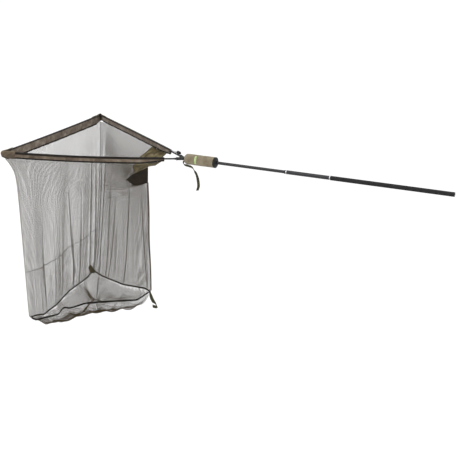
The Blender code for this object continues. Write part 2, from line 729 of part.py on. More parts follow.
def cord_lock():
    """A barrel lock beside the far arm: body, sprung button and the elastic through both."""
    direction = arm_direction(1, LOCK_S + LOCK_LENGTH / 2)
    side = UP.cross(direction).normalized()
    base = arm_point(1, LOCK_S) + UP * LOCK_RISE
    floor = LOCK_LENGTH - 0.0035
    body = [(LOCK_LENGTH, 0.0), (LOCK_LENGTH, LOCK_R - 0.0017), (LOCK_LENGTH - 0.002, LOCK_R)]
    body += [(0.0, LOCK_R), (0.0, LOCK_BORE), (floor, LOCK_BORE), (floor, 0.0)]
    plastic = "black_plastic"
    lock = turned("cord_lock_body", body, base, direction, plastic, closed=False, steps=SMALL_ROUND)
    hole = base + direction * LOCK_HOLE
    through_lock = side * (LOCK_R + 0.003)
    cutter = cylinder("lock_cord_hole", hole - through_lock, hole + through_lock, LOCK_HOLE_R, 12)
    boolean(lock, cutter, "DIFFERENCE")
    button = [(BUTTON_FRONT, 0.0), (BUTTON_FRONT, BUTTON_R), (BUTTON_REAR + 0.0015, BUTTON_R)]
    button += [(BUTTON_REAR, BUTTON_R - 0.0015), (BUTTON_REAR, 0.0)]
    press = turned("cord_lock_button", button, base, direction, plastic, closed=False, steps=SMALL_ROUND)
    for number, along in enumerate((-0.00352, -0.00110, 0.00132)):
        place = hole + direction * along
        radius = LOCK_HOLE_R + 0.0001 * number
        name = "button_cord_slot_" + str(number)
        slot = cylinder(name, place - through_lock, place + through_lock, radius, 12)
        boolean(press, slot, "DIFFERENCE")
    spring_ring = ring(BUTTON_FRONT + 0.0005, floor - GAP, 0.0022, 0.0050)
    turned("cord_lock_spring", spring_ring, base, direction, "bright", steps=SMALL_ROUND)
    path = [
        arm_point(1, 0.145) - side * 0.0075 + UP * 0.004,
        arm_point(1, 0.122) - side * 0.0105 + UP * 0.007,
        hole - side * 0.0135 + direction * 0.012,
        hole - side * 0.0125,
        hole - side * 0.0100,
        hole + side * 0.0100,
        hole + side * 0.0125,
        hole + side * 0.0135 + direction * 0.012,
        arm_point(1, 0.122) + side * 0.0105 + UP * 0.007,
        arm_point(1, 0.145) + side * 0.0075 + UP * 0.004,
    ]
    rod("elastic_cord", path, [ELASTIC_R] * len(path), "cord", resolution=1)


def main():
    lower_handle()
    upper_handle()
    float_pieces()
    spreader_block()
    arms_and_fittings()
    tip_cord()
    sleeves()
    tip_guards()
    gusset_pieces()
    nets()
    seam_tapes()
    corner_tabs()
    tie_strap()
    cord_lock()


main()
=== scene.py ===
# %% [markdown]
# # A specimen landing net, dressed
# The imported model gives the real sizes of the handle, the spreader and the arms, and plain
# closed solids where the fabric and the net hang. This lesson keeps the hard parts where they
# are and makes the soft ones: a net bag of real threads, sleeves with bound edges, webbing,
# a foam float. Each cell makes one kind of thing and prints what it made.

# %% The frame
import json
import math

import bmesh
import bpy
import numpy as np
from mathutils import Matrix, Vector


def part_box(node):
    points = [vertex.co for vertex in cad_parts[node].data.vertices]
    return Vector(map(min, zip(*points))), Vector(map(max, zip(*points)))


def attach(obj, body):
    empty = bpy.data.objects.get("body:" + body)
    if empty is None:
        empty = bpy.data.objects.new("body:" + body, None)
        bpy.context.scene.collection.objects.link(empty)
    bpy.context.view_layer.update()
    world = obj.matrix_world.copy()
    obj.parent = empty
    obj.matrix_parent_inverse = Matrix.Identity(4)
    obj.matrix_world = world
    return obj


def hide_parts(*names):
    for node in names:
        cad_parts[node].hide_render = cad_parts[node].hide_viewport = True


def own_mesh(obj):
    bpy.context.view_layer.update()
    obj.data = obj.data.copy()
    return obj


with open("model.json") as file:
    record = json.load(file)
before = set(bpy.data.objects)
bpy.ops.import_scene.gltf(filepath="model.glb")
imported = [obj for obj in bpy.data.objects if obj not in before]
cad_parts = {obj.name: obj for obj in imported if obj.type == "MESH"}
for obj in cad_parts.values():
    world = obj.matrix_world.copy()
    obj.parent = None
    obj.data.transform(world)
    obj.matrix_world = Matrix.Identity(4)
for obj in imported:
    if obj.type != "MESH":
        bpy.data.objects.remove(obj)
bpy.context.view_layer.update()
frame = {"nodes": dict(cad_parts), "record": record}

SPREADER_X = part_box("spreader_block")[1].x
print("the arm lines meet at x =", round(SPREADER_X, 4))

# %% [markdown]
# ## The arms give every other place
# On the real net the two arms bow outwards under the pull of the tip cord, and droop a little.
# All of the fabric hangs from them, so their centre line is one formula that every later
# cell can ask for a point, a direction or the outward side.

# %% Lines of the arms
NEAR, FAR = -1, 1
LABEL = {NEAR: "near", FAR: "far"}
ARM_REACH = 1.05
TIP_INSET = 0.010           # the cord leaves each arm this far before its end
CORD_SAG = 0.016            # four times the cord's sag at its middle
ARM_HALF_ANGLE = math.radians(28.84)
TIP_RISE = 0.054
ARM_BOW = 0.018
ARM_DROOP = 0.008
SLEEVE_TOP = 0.0080
SIDE_DROP = 0.028
FRONT_DROP = 0.045
SLEEVE_HALF = 0.0080
SLEEVE_START = 0.120
FAR_SLEEVE_START = 0.176
GUSSET_REAR = {NEAR: 0.140, FAR: 0.225}
GUSSET_FRONT = {NEAR: 0.285, FAR: 0.400}
UP = np.array([0.0, 0.0, 1.0])
FORWARD = np.array([-1.0, 0.0, 0.0])


def at(u, y=0.0, z=0.0):
    """A point given from the spreader, u metres towards the butt."""
    return np.array([SPREADER_X + u, y, z])


def unit(vector):
    return vector / np.linalg.norm(vector)


def arm_point(side, s, drop=0.0):
    t = s / ARM_REACH
    bulge = 4.0 * t * (1.0 - t)
    along = np.array([-math.cos(ARM_HALF_ANGLE), side * math.sin(ARM_HALF_ANGLE), TIP_RISE / ARM_REACH])
    outward = np.array([math.sin(ARM_HALF_ANGLE), side * math.cos(ARM_HALF_ANGLE), 0.0])
    return at(0.0) + along * s + outward * ARM_BOW * bulge - UP * (ARM_DROOP * bulge + drop)


def arm_direction(side, s):
    return unit(arm_point(side, s + 0.001) - arm_point(side, s - 0.001))


def outward_at(side, s):
    return unit(np.cross(arm_direction(side, s), UP)) * side


def cord_point(share):
    """A point on the cord between the arm tips, from the near tip to the far one."""
    near, far = (arm_point(side, ARM_REACH - TIP_INSET) for side in (NEAR, FAR))
    return near + (far - near) * share - UP * CORD_SAG * share * (1 - share)


def side_drop(s):
    return SIDE_DROP * min(1.0, 0.45 + (s - SLEEVE_START) * 4.0)


def curve_through(points, count):
    """A smooth curve (Catmull-Rom) through the points, sampled evenly along its length."""
    knots = np.array([2 * np.array(points[0]) - points[1], *points, 2 * np.array(points[-1]) - points[-2]])
    samples = []
    for i in range(1, len(knots) - 2):
        for t in np.linspace(0, 1, 24, endpoint=False):
            a, b, c, d = knots[i - 1:i + 3]
            samples.append(0.5 * (2 * b + (c - a) * t + (2 * a - 5 * b + 4 * c - d) * t**2
                                  + (3 * b - a - 3 * c + d) * t**3))
    samples.append(knots[-2])
    return even(np.array(samples), count)


def even(samples, count):
    """The same line with its points spread evenly along its length."""
    length = np.concatenate([[0.0], np.cumsum(np.linalg.norm(np.diff(samples, axis=0), axis=1))])
    wanted = np.linspace(0.0, length[-1], count)
    return np.stack([np.interp(wanted, length, samples[:, k]) for k in range(3)], axis=1)


def smooth_step(x):
    x = np.clip(x, 0.0, 1.0)
    return x * x * (3 - 2 * x)


print("the cord's ends are", round(float(np.linalg.norm(cord_point(1.0) - cord_point(0.0))), 3), "m apart")

# %% [markdown]
# ## Camera
# A long lens from the hand's side and a little above, so that the mouth of the net shows as a
# flat triangle and the handle runs out to the right. It comes first, because everything after
# it is judged from here.

# %% The camera
CAMERA_AZIMUTH = math.radians(26.29)
CAMERA_ELEVATION = math.radians(19.97)
CAMERA_ROLL = math.radians(-0.27)
LENS = 78.3
lens = bpy.data.cameras.new("camera")
lens.lens = LENS
lens.sensor_width = 36.0
lens.clip_end = 60.0
camera = bpy.data.objects.new("camera", lens)
bpy.context.scene.collection.objects.link(camera)
turn = Matrix.Rotation(CAMERA_AZIMUTH, 4, "Z") @ Matrix.Rotation(math.pi / 2 - CAMERA_ELEVATION, 4, "X")
turn = turn @ Matrix.Rotation(CAMERA_ROLL, 4, "Z")
camera.matrix_world = Matrix.Translation(at(2.722, -4.9225, 1.598)) @ turn
bpy.context.scene.camera = camera
bpy.context.scene.view_settings.view_transform = "Standard"
print("camera at", [round(x, 2) for x in camera.location])

# %% [markdown]
# ## Building materials from nodes
# Every finish here is the same recipe with other numbers: a mottled colour, a fine bump that
# is a weave, a grain or a brushing, and a roughness that varies a little. One function makes
# the mottling and one the weave, so that each material below reads as a short list of choices.

# %% Material helpers
def new_material(name, roughness, metallic=0.0, coat=0.0, sheen=0.0, specular=0.5):
    made = bpy.data.materials.new(name)
    made.use_nodes = True
    shader = made.node_tree.nodes["Principled BSDF"]
    shader.inputs["Roughness"].default_value = roughness
    shader.inputs["Metallic"].default_value = metallic
    shader.inputs["Coat Weight"].default_value = coat
    shader.inputs["Sheen Weight"].default_value = sheen
    shader.inputs["Specular IOR Level"].default_value = specular
    return made, made.node_tree, shader


def node(tree, kind, **settings):
    made = tree.nodes.new(kind)
    for name, value in settings.items():
        if hasattr(made, name):
            setattr(made, name, value)
        else:
            made.inputs[name.replace("_", " ")].default_value = value
    return made


def coordinates(tree, output="Object"):
    return tree.nodes.new("ShaderNodeTexCoord").outputs[output]


def ramp(tree, value, stops):
    """Colours blended along a value; stops are (place, colour) pairs."""
    made = tree.nodes.new("ShaderNodeValToRGB")
    while len(made.color_ramp.elements) < len(stops):
        made.color_ramp.elements.new(0.5)
    for element, (place, colour) in zip(made.color_ramp.elements, stops):
        element.position = place
        element.color = (*colour, 1.0)
    tree.links.new(value, made.inputs["Fac"])
    return made.outputs["Color"]


def noise(tree, scale, detail=4.0, where="Object", distortion=0.0):
    made = node(tree, "ShaderNodeTexNoise", Scale=scale, Detail=detail, Distortion=distortion)
    tree.links.new(coordinates(tree, where), made.inputs["Vector"])
    return made.outputs["Fac"]


def maths(tree, operation, first, second):
    made = node(tree, "ShaderNodeMath", operation=operation)
    for socket, value in zip(made.inputs, (first, second)):
        if isinstance(value, (int, float)):
            socket.default_value = value
        else:
            tree.links.new(value, socket)
    return made.outputs[0]


def weave(tree, pitch, where="UV"):
    """A plain weave: two sets of ridges at right angles, pitch metres apart."""
    ridges = []
    for direction in ("X", "Y"):
        made = node(tree, "ShaderNodeTexWave", bands_direction=direction, Scale=math.pi / (10 * pitch))
        made.inputs["Distortion"].default_value = 0.6
        made.inputs["Detail"].default_value = 1.0
        tree.links.new(coordinates(tree, where), made.inputs["Vector"])
        ridges.append(made.outputs["Fac"])
    return maths(tree, "MAXIMUM", *ridges)


def bump(tree, shader, height, strength, distance):
    made = node(tree, "ShaderNodeBump", Strength=strength, Distance=distance)
    tree.links.new(height, made.inputs["Height"])
    tree.links.new(made.outputs["Normal"], shader.inputs["Normal"])


def vary_roughness(tree, shader, value, low, high):
    made = node(tree, "ShaderNodeMapRange")
    made.inputs["To Min"].default_value = low
    made.inputs["To Max"].default_value = high
    tree.links.new(value, made.inputs["Value"])
    tree.links.new(made.outputs["Result"], shader.inputs["Roughness"])


# %% [markdown]
# ## The finishes
# The fabrics are a thin coated polyester printed in a blurred camouflage, the binding and the
# webbing are plain woven tape, the net is dull knitted thread, and the float is closed-cell
# foam in a stretched cover. The tubes are carbon, whose weave only shows close up.

# %% Fabrics
def fabric(name, colours, pitch, scale, sheen=0.25, roughness=0.85):
    made, tree, shader = new_material(name, roughness, sheen=sheen, specular=0.25)
    blotch = noise(tree, scale, 5.0, distortion=0.8)
    threads = weave(tree, pitch)
    tint = ramp(tree, blotch, colours)
    shade = node(tree, "ShaderNodeMix", data_type="RGBA", blend_type="MULTIPLY")
    shade.inputs["Factor"].default_value = 0.35
    tree.links.new(tint, shade.inputs["A"])
    shadow = ramp(tree, threads, [(0.0, (0.55, 0.55, 0.55)), (0.6, (1.0, 1.0, 1.0))])
    tree.links.new(shadow, shade.inputs["B"])
    tree.links.new(shade.outputs["Result"], shader.inputs["Base Color"])
    bump(tree, shader, threads, 0.6, pitch * 0.35)
    vary_roughness(tree, shader, blotch, roughness - 0.08, roughness + 0.08)
    return made


SLEEVE = fabric("sleeve_fabric", [(0.30, (0.068, 0.048, 0.031)), (0.46, (0.135, 0.100, 0.070)),
                                  (0.58, (0.185, 0.144, 0.106)), (0.72, (0.300, 0.258, 0.210))], 0.0012, 22.0)
OLIVE = fabric("olive_fabric", [(0.32, (0.038, 0.028, 0.010)), (0.50, (0.086, 0.066, 0.026)),
                                (0.66, (0.175, 0.148, 0.078))], 0.0012, 22.0, 0.03)
DARK = fabric("dark_fabric", [(0.30, (0.011, 0.008, 0.004)), (0.70, (0.028, 0.020, 0.012))],
              0.0014, 30.0, 0.03)
BINDING = fabric("binding_tape", [(0.30, (0.005, 0.004, 0.003)), (0.70, (0.017, 0.013, 0.009))],
                 0.0011, 40.0, 0.04)
WEBBING = fabric("olive_webbing", [(0.30, (0.022, 0.021, 0.010)), (0.70, (0.060, 0.055, 0.028))],
                 0.0016, 40.0, 0.1)
PATCH = fabric("green_patch", [(0.35, (0.300, 0.430, 0.140)), (0.60, (0.520, 0.640, 0.340))], 0.0008, 140.0)


def thread_material():
    made, tree, shader = new_material("knitted_thread", 0.9, specular=0.2)
    tint = ramp(tree, noise(tree, 30.0, 3.0), [(0.3, (0.034, 0.024, 0.012)), (0.7, (0.080, 0.060, 0.034))])
    tree.links.new(tint, shader.inputs["Base Color"])
    bump(tree, shader, noise(tree, 1500.0, 2.0), 0.4, 0.0002)
    return made


THREAD = thread_material()
print("fabrics:", ", ".join(m.name for m in (SLEEVE, OLIVE, DARK, BINDING, WEBBING, PATCH, THREAD)))


# %% Hard finishes and foam
def carbon():
    """Two ridges that run round the tube at 45 degrees, under a clear coat."""
    made, tree, shader = new_material("carbon_tube", 0.38, coat=0.15, specular=0.3)
    twill = node(tree, "ShaderNodeTexWave", bands_direction="DIAGONAL", Scale=160.0)
    twill.inputs["Distortion"].default_value = 1.5
    tree.links.new(coordinates(tree), twill.inputs["Vector"])
    tint = ramp(tree, twill.outputs["Fac"], [(0.2, (0.006, 0.006, 0.007)), (0.8, (0.022, 0.023, 0.026))])
    tree.links.new(tint, shader.inputs["Base Color"])
    bump(tree, shader, twill.outputs["Fac"], 0.10, 0.0002)
    vary_roughness(tree, shader, noise(tree, 25.0), 0.32, 0.46)
    return made


def plastic(name, dark, light, roughness, grain=900.0, strength=0.25):
    made, tree, shader = new_material(name, roughness, specular=0.28)
    grey = noise(tree, 60.0, 3.0)
    tree.links.new(ramp(tree, grey, [(0.3, dark), (0.7, light)]), shader.inputs["Base Color"])
    bump(tree, shader, noise(tree, grain, 3.0), strength, 0.0003)
    vary_roughness(tree, shader, grey, roughness - 0.07, roughness + 0.07)
    return made


def metal(name, dark, light, roughness):
    """Turned metal: fine marks that run round the piece."""
    made, tree, shader = new_material(name, roughness, metallic=1.0)
    marks = node(tree, "ShaderNodeTexNoise", Scale=60.0, Detail=6.0)
    stretch = node(tree, "ShaderNodeMapping")
    stretch.inputs["Scale"].default_value = (40.0, 1.0, 1.0)
    tree.links.new(coordinates(tree), stretch.inputs["Vector"])
    tree.links.new(stretch.outputs["Vector"], marks.inputs["Vector"])
    tree.links.new(ramp(tree, marks.outputs["Fac"], [(0.3, dark), (0.7, light)]), shader.inputs["Base Color"])
    bump(tree, shader, marks.outputs["Fac"], 0.15, 0.0002)
    vary_roughness(tree, shader, marks.outputs["Fac"], roughness - 0.08, roughness + 0.10)
    return made


def foam():
    """Khaki foam: soft blotches, fine cells and a few darker scuffs."""
    made, tree, shader = new_material("khaki_foam", 0.88, sheen=0.2, specular=0.2)
    blotch = noise(tree, 26.0, 5.0)
    tint = ramp(tree, blotch, [(0.30, (0.150, 0.120, 0.076)), (0.52, (0.215, 0.180, 0.120)),
                               (0.75, (0.265, 0.228, 0.160))])
    tree.links.new(tint, shader.inputs["Base Color"])
    cells = node(tree, "ShaderNodeTexVoronoi", Scale=700.0)
    tree.links.new(coordinates(tree), cells.inputs["Vector"])
    bump(tree, shader, cells.outputs["Distance"], 0.35, 0.0006)
    vary_roughness(tree, shader, blotch, 0.80, 0.95)
    return made


CARBON = carbon()
BLACK = plastic("black_plastic", (0.004, 0.004, 0.004), (0.011, 0.011, 0.012), 0.55)
GREY = plastic("grey_nylon", (0.009, 0.009, 0.010), (0.026, 0.027, 0.028), 0.45)
GRIP = plastic("shrink_grip", (0.006, 0.006, 0.006), (0.016, 0.016, 0.016), 0.72, 500.0, 0.5)
BRIGHT = metal("bright_steel", (0.42, 0.42, 0.44), (0.68, 0.68, 0.70), 0.28)
BRASS = metal("brass", (0.42, 0.30, 0.10), (0.62, 0.48, 0.20), 0.32)
FOAM = foam()
CORD = plastic("braided_cord", (0.006, 0.006, 0.005), (0.020, 0.019, 0.016), 0.85, 1200.0, 0.8)
print("finishes:", ", ".join(m.name for m in (CARBON, BLACK, GREY, GRIP, BRIGHT, BRASS, FOAM, CORD)))


# %% [markdown]
# ## From rows of points to cloth
# A sleeve, a tape or a strap is a grid of points. The grid becomes quads, gets a UV map in
# metres so that the weave keeps its real size, and Solidify gives it the thickness of cloth.

# %% Surfaces from rows of points
def link(name, mesh, material):
    made = bpy.data.objects.new(name, mesh)
    bpy.context.scene.collection.objects.link(made)
    mesh.materials.append(material)
    return made


def grid_mesh(name, grids, wrap=False):
    """Quads between rows of points, with a UV map in metres; grids that meet are welded."""
    shape = bmesh.new()
    uv = shape.loops.layers.uv.new("metres")
    for rows in (np.asarray(grid) for grid in grids):
        count, width = rows.shape[:2]
        verts = [[shape.verts.new(point) for point in row] for row in rows]
        steps_along = np.linalg.norm(np.diff(rows[:, width // 2], axis=0), axis=1)
        along = np.concatenate([[0], np.cumsum(steps_along)])
        ring = np.concatenate([rows, rows[:, :1]], axis=1)
        steps_across = np.linalg.norm(np.diff(ring, axis=1), axis=2).mean(axis=0)
        across = np.concatenate([[0], np.cumsum(steps_across)])
        for r in range(count - 1):
            for c in range(width if wrap else width - 1):
                corners = [(r, c), (r, c + 1), (r + 1, c + 1), (r + 1, c)]
                face = shape.faces.new([verts[i][j % width] for i, j in corners])
                face.smooth = True
                for loop, (i, j) in zip(face.loops, corners):
                    loop[uv].uv = (along[i], across[j])
    bmesh.ops.remove_doubles(shape, verts=shape.verts, dist=0.00002)
    bmesh.ops.recalc_face_normals(shape, faces=shape.faces)
    mesh = bpy.data.meshes.new(name)
    shape.to_mesh(mesh)
    shape.free()
    return mesh


def finish_mesh(made):
    """Turns the evaluated object into a plain mesh and removes its modifiers."""
    graph = bpy.context.evaluated_depsgraph_get()
    graph.update()
    mesh = bpy.data.meshes.new_from_object(made.evaluated_get(graph))
    made.modifiers.clear()
    made.data = mesh
    return made


def cloth(name, grids, thickness, material, wrap=False):
    made = link(name, grid_mesh(name, grids, wrap), material)
    solid = made.modifiers.new("thickness", "SOLIDIFY")
    solid.thickness = thickness
    solid.offset = 0.0
    finish_mesh(made)
    made.data.set_sharp_from_angle(angle=math.radians(60))
    return made


def area_of(grids):
    """The area of cloth in grids of points."""
    total = 0.0
    for rows in (np.asarray(grid) for grid in grids):
        one = rows[1:, 1:] - rows[:-1, :-1]
        other = rows[1:, :-1] - rows[:-1, 1:]
        total += np.linalg.norm(np.cross(one, other), axis=2).sum() / 2
    return float(total)


def tape_rows(path, across, width, columns=5):
    """Rows of points for a flat tape: its width is laid along a direction at each point."""
    offsets = np.linspace(-0.5, 0.5, columns) * width
    return [[point + direction * offset for offset in offsets] for point, direction in zip(path, across)]


def tube_mesh(name, path, radii, material, sides=10):
    """A round rod along a path, with closed ends."""
    path = np.asarray(path)
    radii = np.broadcast_to(radii, (len(path),))
    tangents = np.gradient(path, axis=0)
    side = unit(np.cross(tangents[0], UP + 0.01))
    rings = []
    for point, tangent, radius in zip(path, tangents, radii):
        tangent = unit(tangent)
        side = unit(side - tangent * (side @ tangent))
        up = np.cross(tangent, side)
        angles = np.arange(sides) * 2 * math.pi / sides
        rings.append([point + radius * (math.cos(a) * side + math.sin(a) * up) for a in angles])
    mesh = grid_mesh(name, [rings], wrap=True)
    shape = bmesh.new()
    shape.from_mesh(mesh)
    bmesh.ops.holes_fill(shape, edges=[e for e in shape.edges if e.is_boundary])
    bmesh.ops.recalc_face_normals(shape, faces=shape.faces)
    shape.to_mesh(mesh)
    shape.free()
    return link(name, mesh, material)


def head_piece(made, slot, *nodes):
    """A piece of the net's head: it rides there and stands for the CAD nodes named."""
    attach(made, "net_head")
    if nodes:
        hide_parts(*nodes)
    return made


# %% [markdown]
# ## Turned parts
# Tubes, rings, the float and its cap are all turned shapes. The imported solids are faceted, so
# each is turned again at its own size, read from the frame, in finer steps and with a small
# round on its edges, which is what catches the light on a real lathe-cut ring.

# %% Turning
def placed(origin, direction):
    """Three axes at a point: the first along the direction."""
    direction = unit(np.asarray(direction, float))
    side = unit(np.cross(UP, direction))
    return np.asarray(origin, float), direction, side, np.cross(direction, side)


def lathe(name, outline, material, origin=(0, 0, 0), direction=(1, 0, 0), steps=64, closed=True, groove=None):
    """Turns (along, radius) pairs round an axis; a closed outline makes a ring."""
    origin, direction, side, up = placed(origin, direction)
    rings = []
    for along, radius in outline:
        ring = []
        for a in np.arange(steps) * 2 * math.pi / steps:
            r = radius if groove is None else groove(along, radius, a)
            ring.append(origin + direction * along + r * (math.cos(a) * side + math.sin(a) * up))
        rings.append(ring)
    if closed:
        rings.append(rings[0])
    mesh = grid_mesh(name, [rings], wrap=True)
    mesh.set_sharp_from_angle(angle=math.radians(40))
    return link(name, mesh, material)


def rounded(corners, edge, steps=4):
    """An outline with each outer corner cut to a small round."""
    corners = [np.array(c, float) for c in corners]
    points = []
    for i, corner in enumerate(corners):
        before, after = corners[i - 1] - corner, corners[(i + 1) % len(corners)] - corner
        reach = min(edge, 0.45 * np.linalg.norm(before), 0.45 * np.linalg.norm(after))
        start, end = corner + unit(before) * reach, corner + unit(after) * reach
        for t in np.linspace(0, 1, steps):
            points.append((1 - t) ** 2 * start + 2 * t * (1 - t) * corner + t * t * end)
    return points


def ring_on_handle(node_name, inner, material, edge=0.0006):
    """A ring with the length and outer radius of its CAD node."""
    low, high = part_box(node_name)
    outer = (high.z - low.z) / 2
    corners = [(low.x, inner), (low.x, outer), (high.x, outer), (high.x, inner)]
    made = lathe(node_name + "_turned", rounded(corners, edge), material)
    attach(made, BODY_OF[node_name])
    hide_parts(node_name)
    return made


BODY_OF = {}
for body, members in frame["record"]["behaviour"]["bodies"].items():
    for member in members:
        BODY_OF[member] = body

# %% Handle tubes, rings and grip
TUBE_BORE = 0.0076
LOWER_BORE = 0.0100
for node_name, inner, material, slot in (
    ("upper_tube", TUBE_BORE, CARBON, "carbon"),
    ("lower_tube", LOWER_BORE, CARBON, "carbon"),
    ("collar_ring", 0.01125, BRIGHT, "bright"),
    ("trim_ring", 0.01125, BRIGHT, "bright"),
    ("butt_cap", 0.0040, BLACK, "black_plastic"),
):
    ring_on_handle(node_name, inner, material)

GRIP_PITCH = 0.0024
GRIP_DEPTH = 0.00018


def grip_ribs(along, radius, angle):
    """Shallow crossing ribs, as the wrap takes when it shrinks onto a cord."""
    if radius < 0.012:
        return radius
    turn = 26 * angle
    climb = 2 * math.pi * along / (GRIP_PITCH * 4)
    return radius - GRIP_DEPTH * (0.5 + 0.5 * math.cos(turn + climb) * math.cos(turn - climb))


low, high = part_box("grip_wrap")
grip_outline = [(low.x, 0.0113), (low.x, 0.0121)]
grip_outline += [(x, 0.0124) for x in np.linspace(low.x + 0.0006, high.x - 0.0006, 420)]
grip_outline += [(high.x, 0.0121), (high.x, 0.0113)]
grip = lathe("grip_wrap_ribbed", grip_outline, GRIP, steps=104, groove=grip_ribs)
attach(grip, "lower_handle")
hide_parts("grip_wrap")
print("the grip is", round(high.x - low.x, 3), "m long")

# %% [markdown]
# ## The float
# A float slides along the upper tube and keeps the net up in water. It is foam turned to a
# cylinder with a round nose, so a lathe outline makes it, and each point is moved a little
# because foam is never quite round.

# %% Float
FLOAT_R = 0.0315
foam_low, foam_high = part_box("float_foam")
FOAM_BORE = 0.0104
SHOULDER = 0.020
NOSE_DROP = 0.0145
DENTS = ((-1.205, 4.0, 0.0011, 0.010), (-1.09, 2.6, 0.0008, 0.007))     # x, turn, depth, width


def scuffed(along, radius, angle):
    """Foam is never quite round: a slow unevenness and two shallow dents."""
    if radius < 0.0118:
        return radius
    uneven = 0.00022 * math.sin(3 * angle + 60 * along) + 0.00012 * math.sin(7 * angle - 140 * along)
    dents = 0.0
    for place, turned, depth, width in DENTS:
        round_by = math.remainder(angle - turned, 2 * math.pi) * radius
        gap = math.hypot((along - place) / width, round_by / width)
        dents += depth * math.exp(-gap * gap)
    return radius + min(0.0, uneven - 0.0003) - dents


foam_outline = [(foam_high.x, FOAM_BORE), (foam_high.x, FLOAT_R - 0.0015),
                (foam_high.x - 0.0006, FLOAT_R - 0.0003)]
foam_outline += [(x, FLOAT_R) for x in np.linspace(foam_high.x - 0.002, foam_low.x + SHOULDER + 0.002, 60)]
for a in np.radians(np.linspace(0, 90, 22)):
    foam_outline.append((foam_low.x + SHOULDER * (1 - math.sin(a)), FLOAT_R - NOSE_DROP * (1 - math.cos(a))))
foam_outline.append((foam_low.x, FOAM_BORE))
float_foam = lathe("float_foam_body", foam_outline, FOAM, steps=96, groove=scuffed)
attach(float_foam, "float")
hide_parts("float_foam")

cap_low, cap_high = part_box("float_end_cap")
cap_corners = [(cap_high.x, FOAM_BORE), (cap_high.x, 0.0205), (cap_high.x - 0.0065, FLOAT_R),
               (cap_low.x, FLOAT_R), (cap_low.x, FOAM_BORE)]
float_cap = lathe("float_cap_turned", rounded(cap_corners, 0.0016), BLACK, steps=96)
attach(float_cap, "float")
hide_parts("float_end_cap")

label_rows = []
for x in np.linspace(-1.173, -1.161, 9):
    label_rows.append([(x, -(FLOAT_R + 0.0006) * math.cos(a), (FLOAT_R + 0.0006) * math.sin(a))
                       for a in np.radians(np.linspace(-28, 60, 40))])
float_label = cloth("float_green_patch", [label_rows], 0.0007, PATCH)
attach(float_label, "float")
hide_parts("float_label")
print("float and patch:", len(float_foam.data.polygons), "and", len(float_label.data.polygons), "faces")

# %% [markdown]
# ## The spreader and the arms
# Each arm is a tapered carbon rod in a metal ferrule, held in a socket of the spreader. The
# CAD nodes of the spreader, the ferrules and the small collars have the right shape and keep
# it, with a better finish. The arms are drawn again along the same line, smooth and tapered.

# %% Arms
ARM_START = 0.018
ARM_END = ARM_REACH - 0.012
for side in (NEAR, FAR):
    stations = np.linspace(ARM_START, ARM_END, 90)
    share = (stations - ARM_START) / (ARM_END - ARM_START)
    radii = 0.005 - 0.002 * np.maximum(0.0, share - 0.06)
    arm = tube_mesh(LABEL[side] + "_arm_rod", [arm_point(side, s) for s in stations], radii, CARBON, 24)
    head_piece(arm, "carbon", LABEL[side] + "_arm")

cord_path = [cord_point(t) for t in np.linspace(0.0, 1.0, 160)]
cord_path[0] = cord_path[0] + np.array([0, 0.0075, 0])
cord_path[-1] = cord_path[-1] - np.array([0, 0.0075, 0])
cord_path = [p for p in cord_path if cord_path[0][1] <= p[1] <= cord_path[-1][1]]
tip_cord = tube_mesh("tip_cord_braided", cord_path, 0.0015, CORD, 10)
head_piece(tip_cord, "cord", "tip_cord")

KEPT = {
    "spreader_block": GREY, "spreader_stud": BRASS, "threaded_insert": BRASS, "lock_washer": BLACK,
    "collar_bush": BLACK, "guide_bush": BLACK, "float_core": BLACK,
    "near_ferrule": BLACK, "far_ferrule": BLACK, "near_socket_collar": BLACK,
    "far_socket_collar": BLACK, "near_tip_cap": BLACK, "far_tip_cap": BLACK, "cord_lock_button": BLACK,
}
for node_name, material in KEPT.items():
    for slot in frame["nodes"][node_name].material_slots:
        slot.material = material
print(len(KEPT), "CAD nodes keep their shape")

# %% [markdown]
# ## The cord lock
# A barrel with grip rings holds a loop of elastic beside the far arm.

# %% Cord lock and elastic
lock_direction = arm_direction(FAR, 0.075)
lock_side = unit(np.cross(UP, lock_direction))
lock_base = arm_point(FAR, 0.062) + UP * 0.0165
lock_outline = [(0.026, 0.0), (0.026, 0.0066), (0.0252, 0.0078)]
lock_outline += [(x, 0.0092 - 0.0006 * (0.5 + 0.5 * math.cos(2 * math.pi * x / 0.0036)))
                 for x in np.linspace(0.0242, 0.0006, 40)]
lock_outline += [(0.0, 0.0088), (0.0, 0.0066), (0.0225, 0.0066), (0.0225, 0.0)]
lock = lathe("cord_lock_barrel", lock_outline, GREY, lock_base, lock_direction, 40, closed=False)
head_piece(lock, "black_plastic", "cord_lock_body")
hole = lock_base + lock_direction * 0.012
COIL_START, COIL_END, COIL_FOOT = 0.0196, 0.0216, 0.0222
COIL_TURNS = 3.5
COIL_R = 0.0042
coil = []
for t in np.linspace(0, 1, 120):
    angle = 2 * math.pi * COIL_TURNS * t
    reach = COIL_R * (math.cos(angle) * lock_side + math.sin(angle) * np.cross(lock_direction, lock_side))
    coil.append(lock_base + lock_direction * (COIL_START + (COIL_END - COIL_START) * t) + reach)
spring = tube_mesh("cord_lock_coil", coil, 0.0003, BRIGHT, 8)
head_piece(spring, "bright", "cord_lock_spring")
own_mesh(spring)
loop_ends = [arm_point(FAR, 0.184) + UP * 0.002, arm_point(FAR, 0.126) + UP * 0.007]
beyond = lock_direction * 0.012
loop = [loop_ends[0] - lock_side * 0.0055, loop_ends[1] - lock_side * 0.0105,
        hole - lock_side * 0.0135 + beyond, hole - lock_side * 0.0125, hole - lock_side * 0.0100,
        hole + lock_side * 0.0100, hole + lock_side * 0.0125, hole + lock_side * 0.0135 + beyond,
        loop_ends[1] + lock_side * 0.0105, loop_ends[0] + lock_side * 0.0055]
elastic = tube_mesh("elastic_loop", curve_through(loop, 140), 0.0013, CORD, 10)
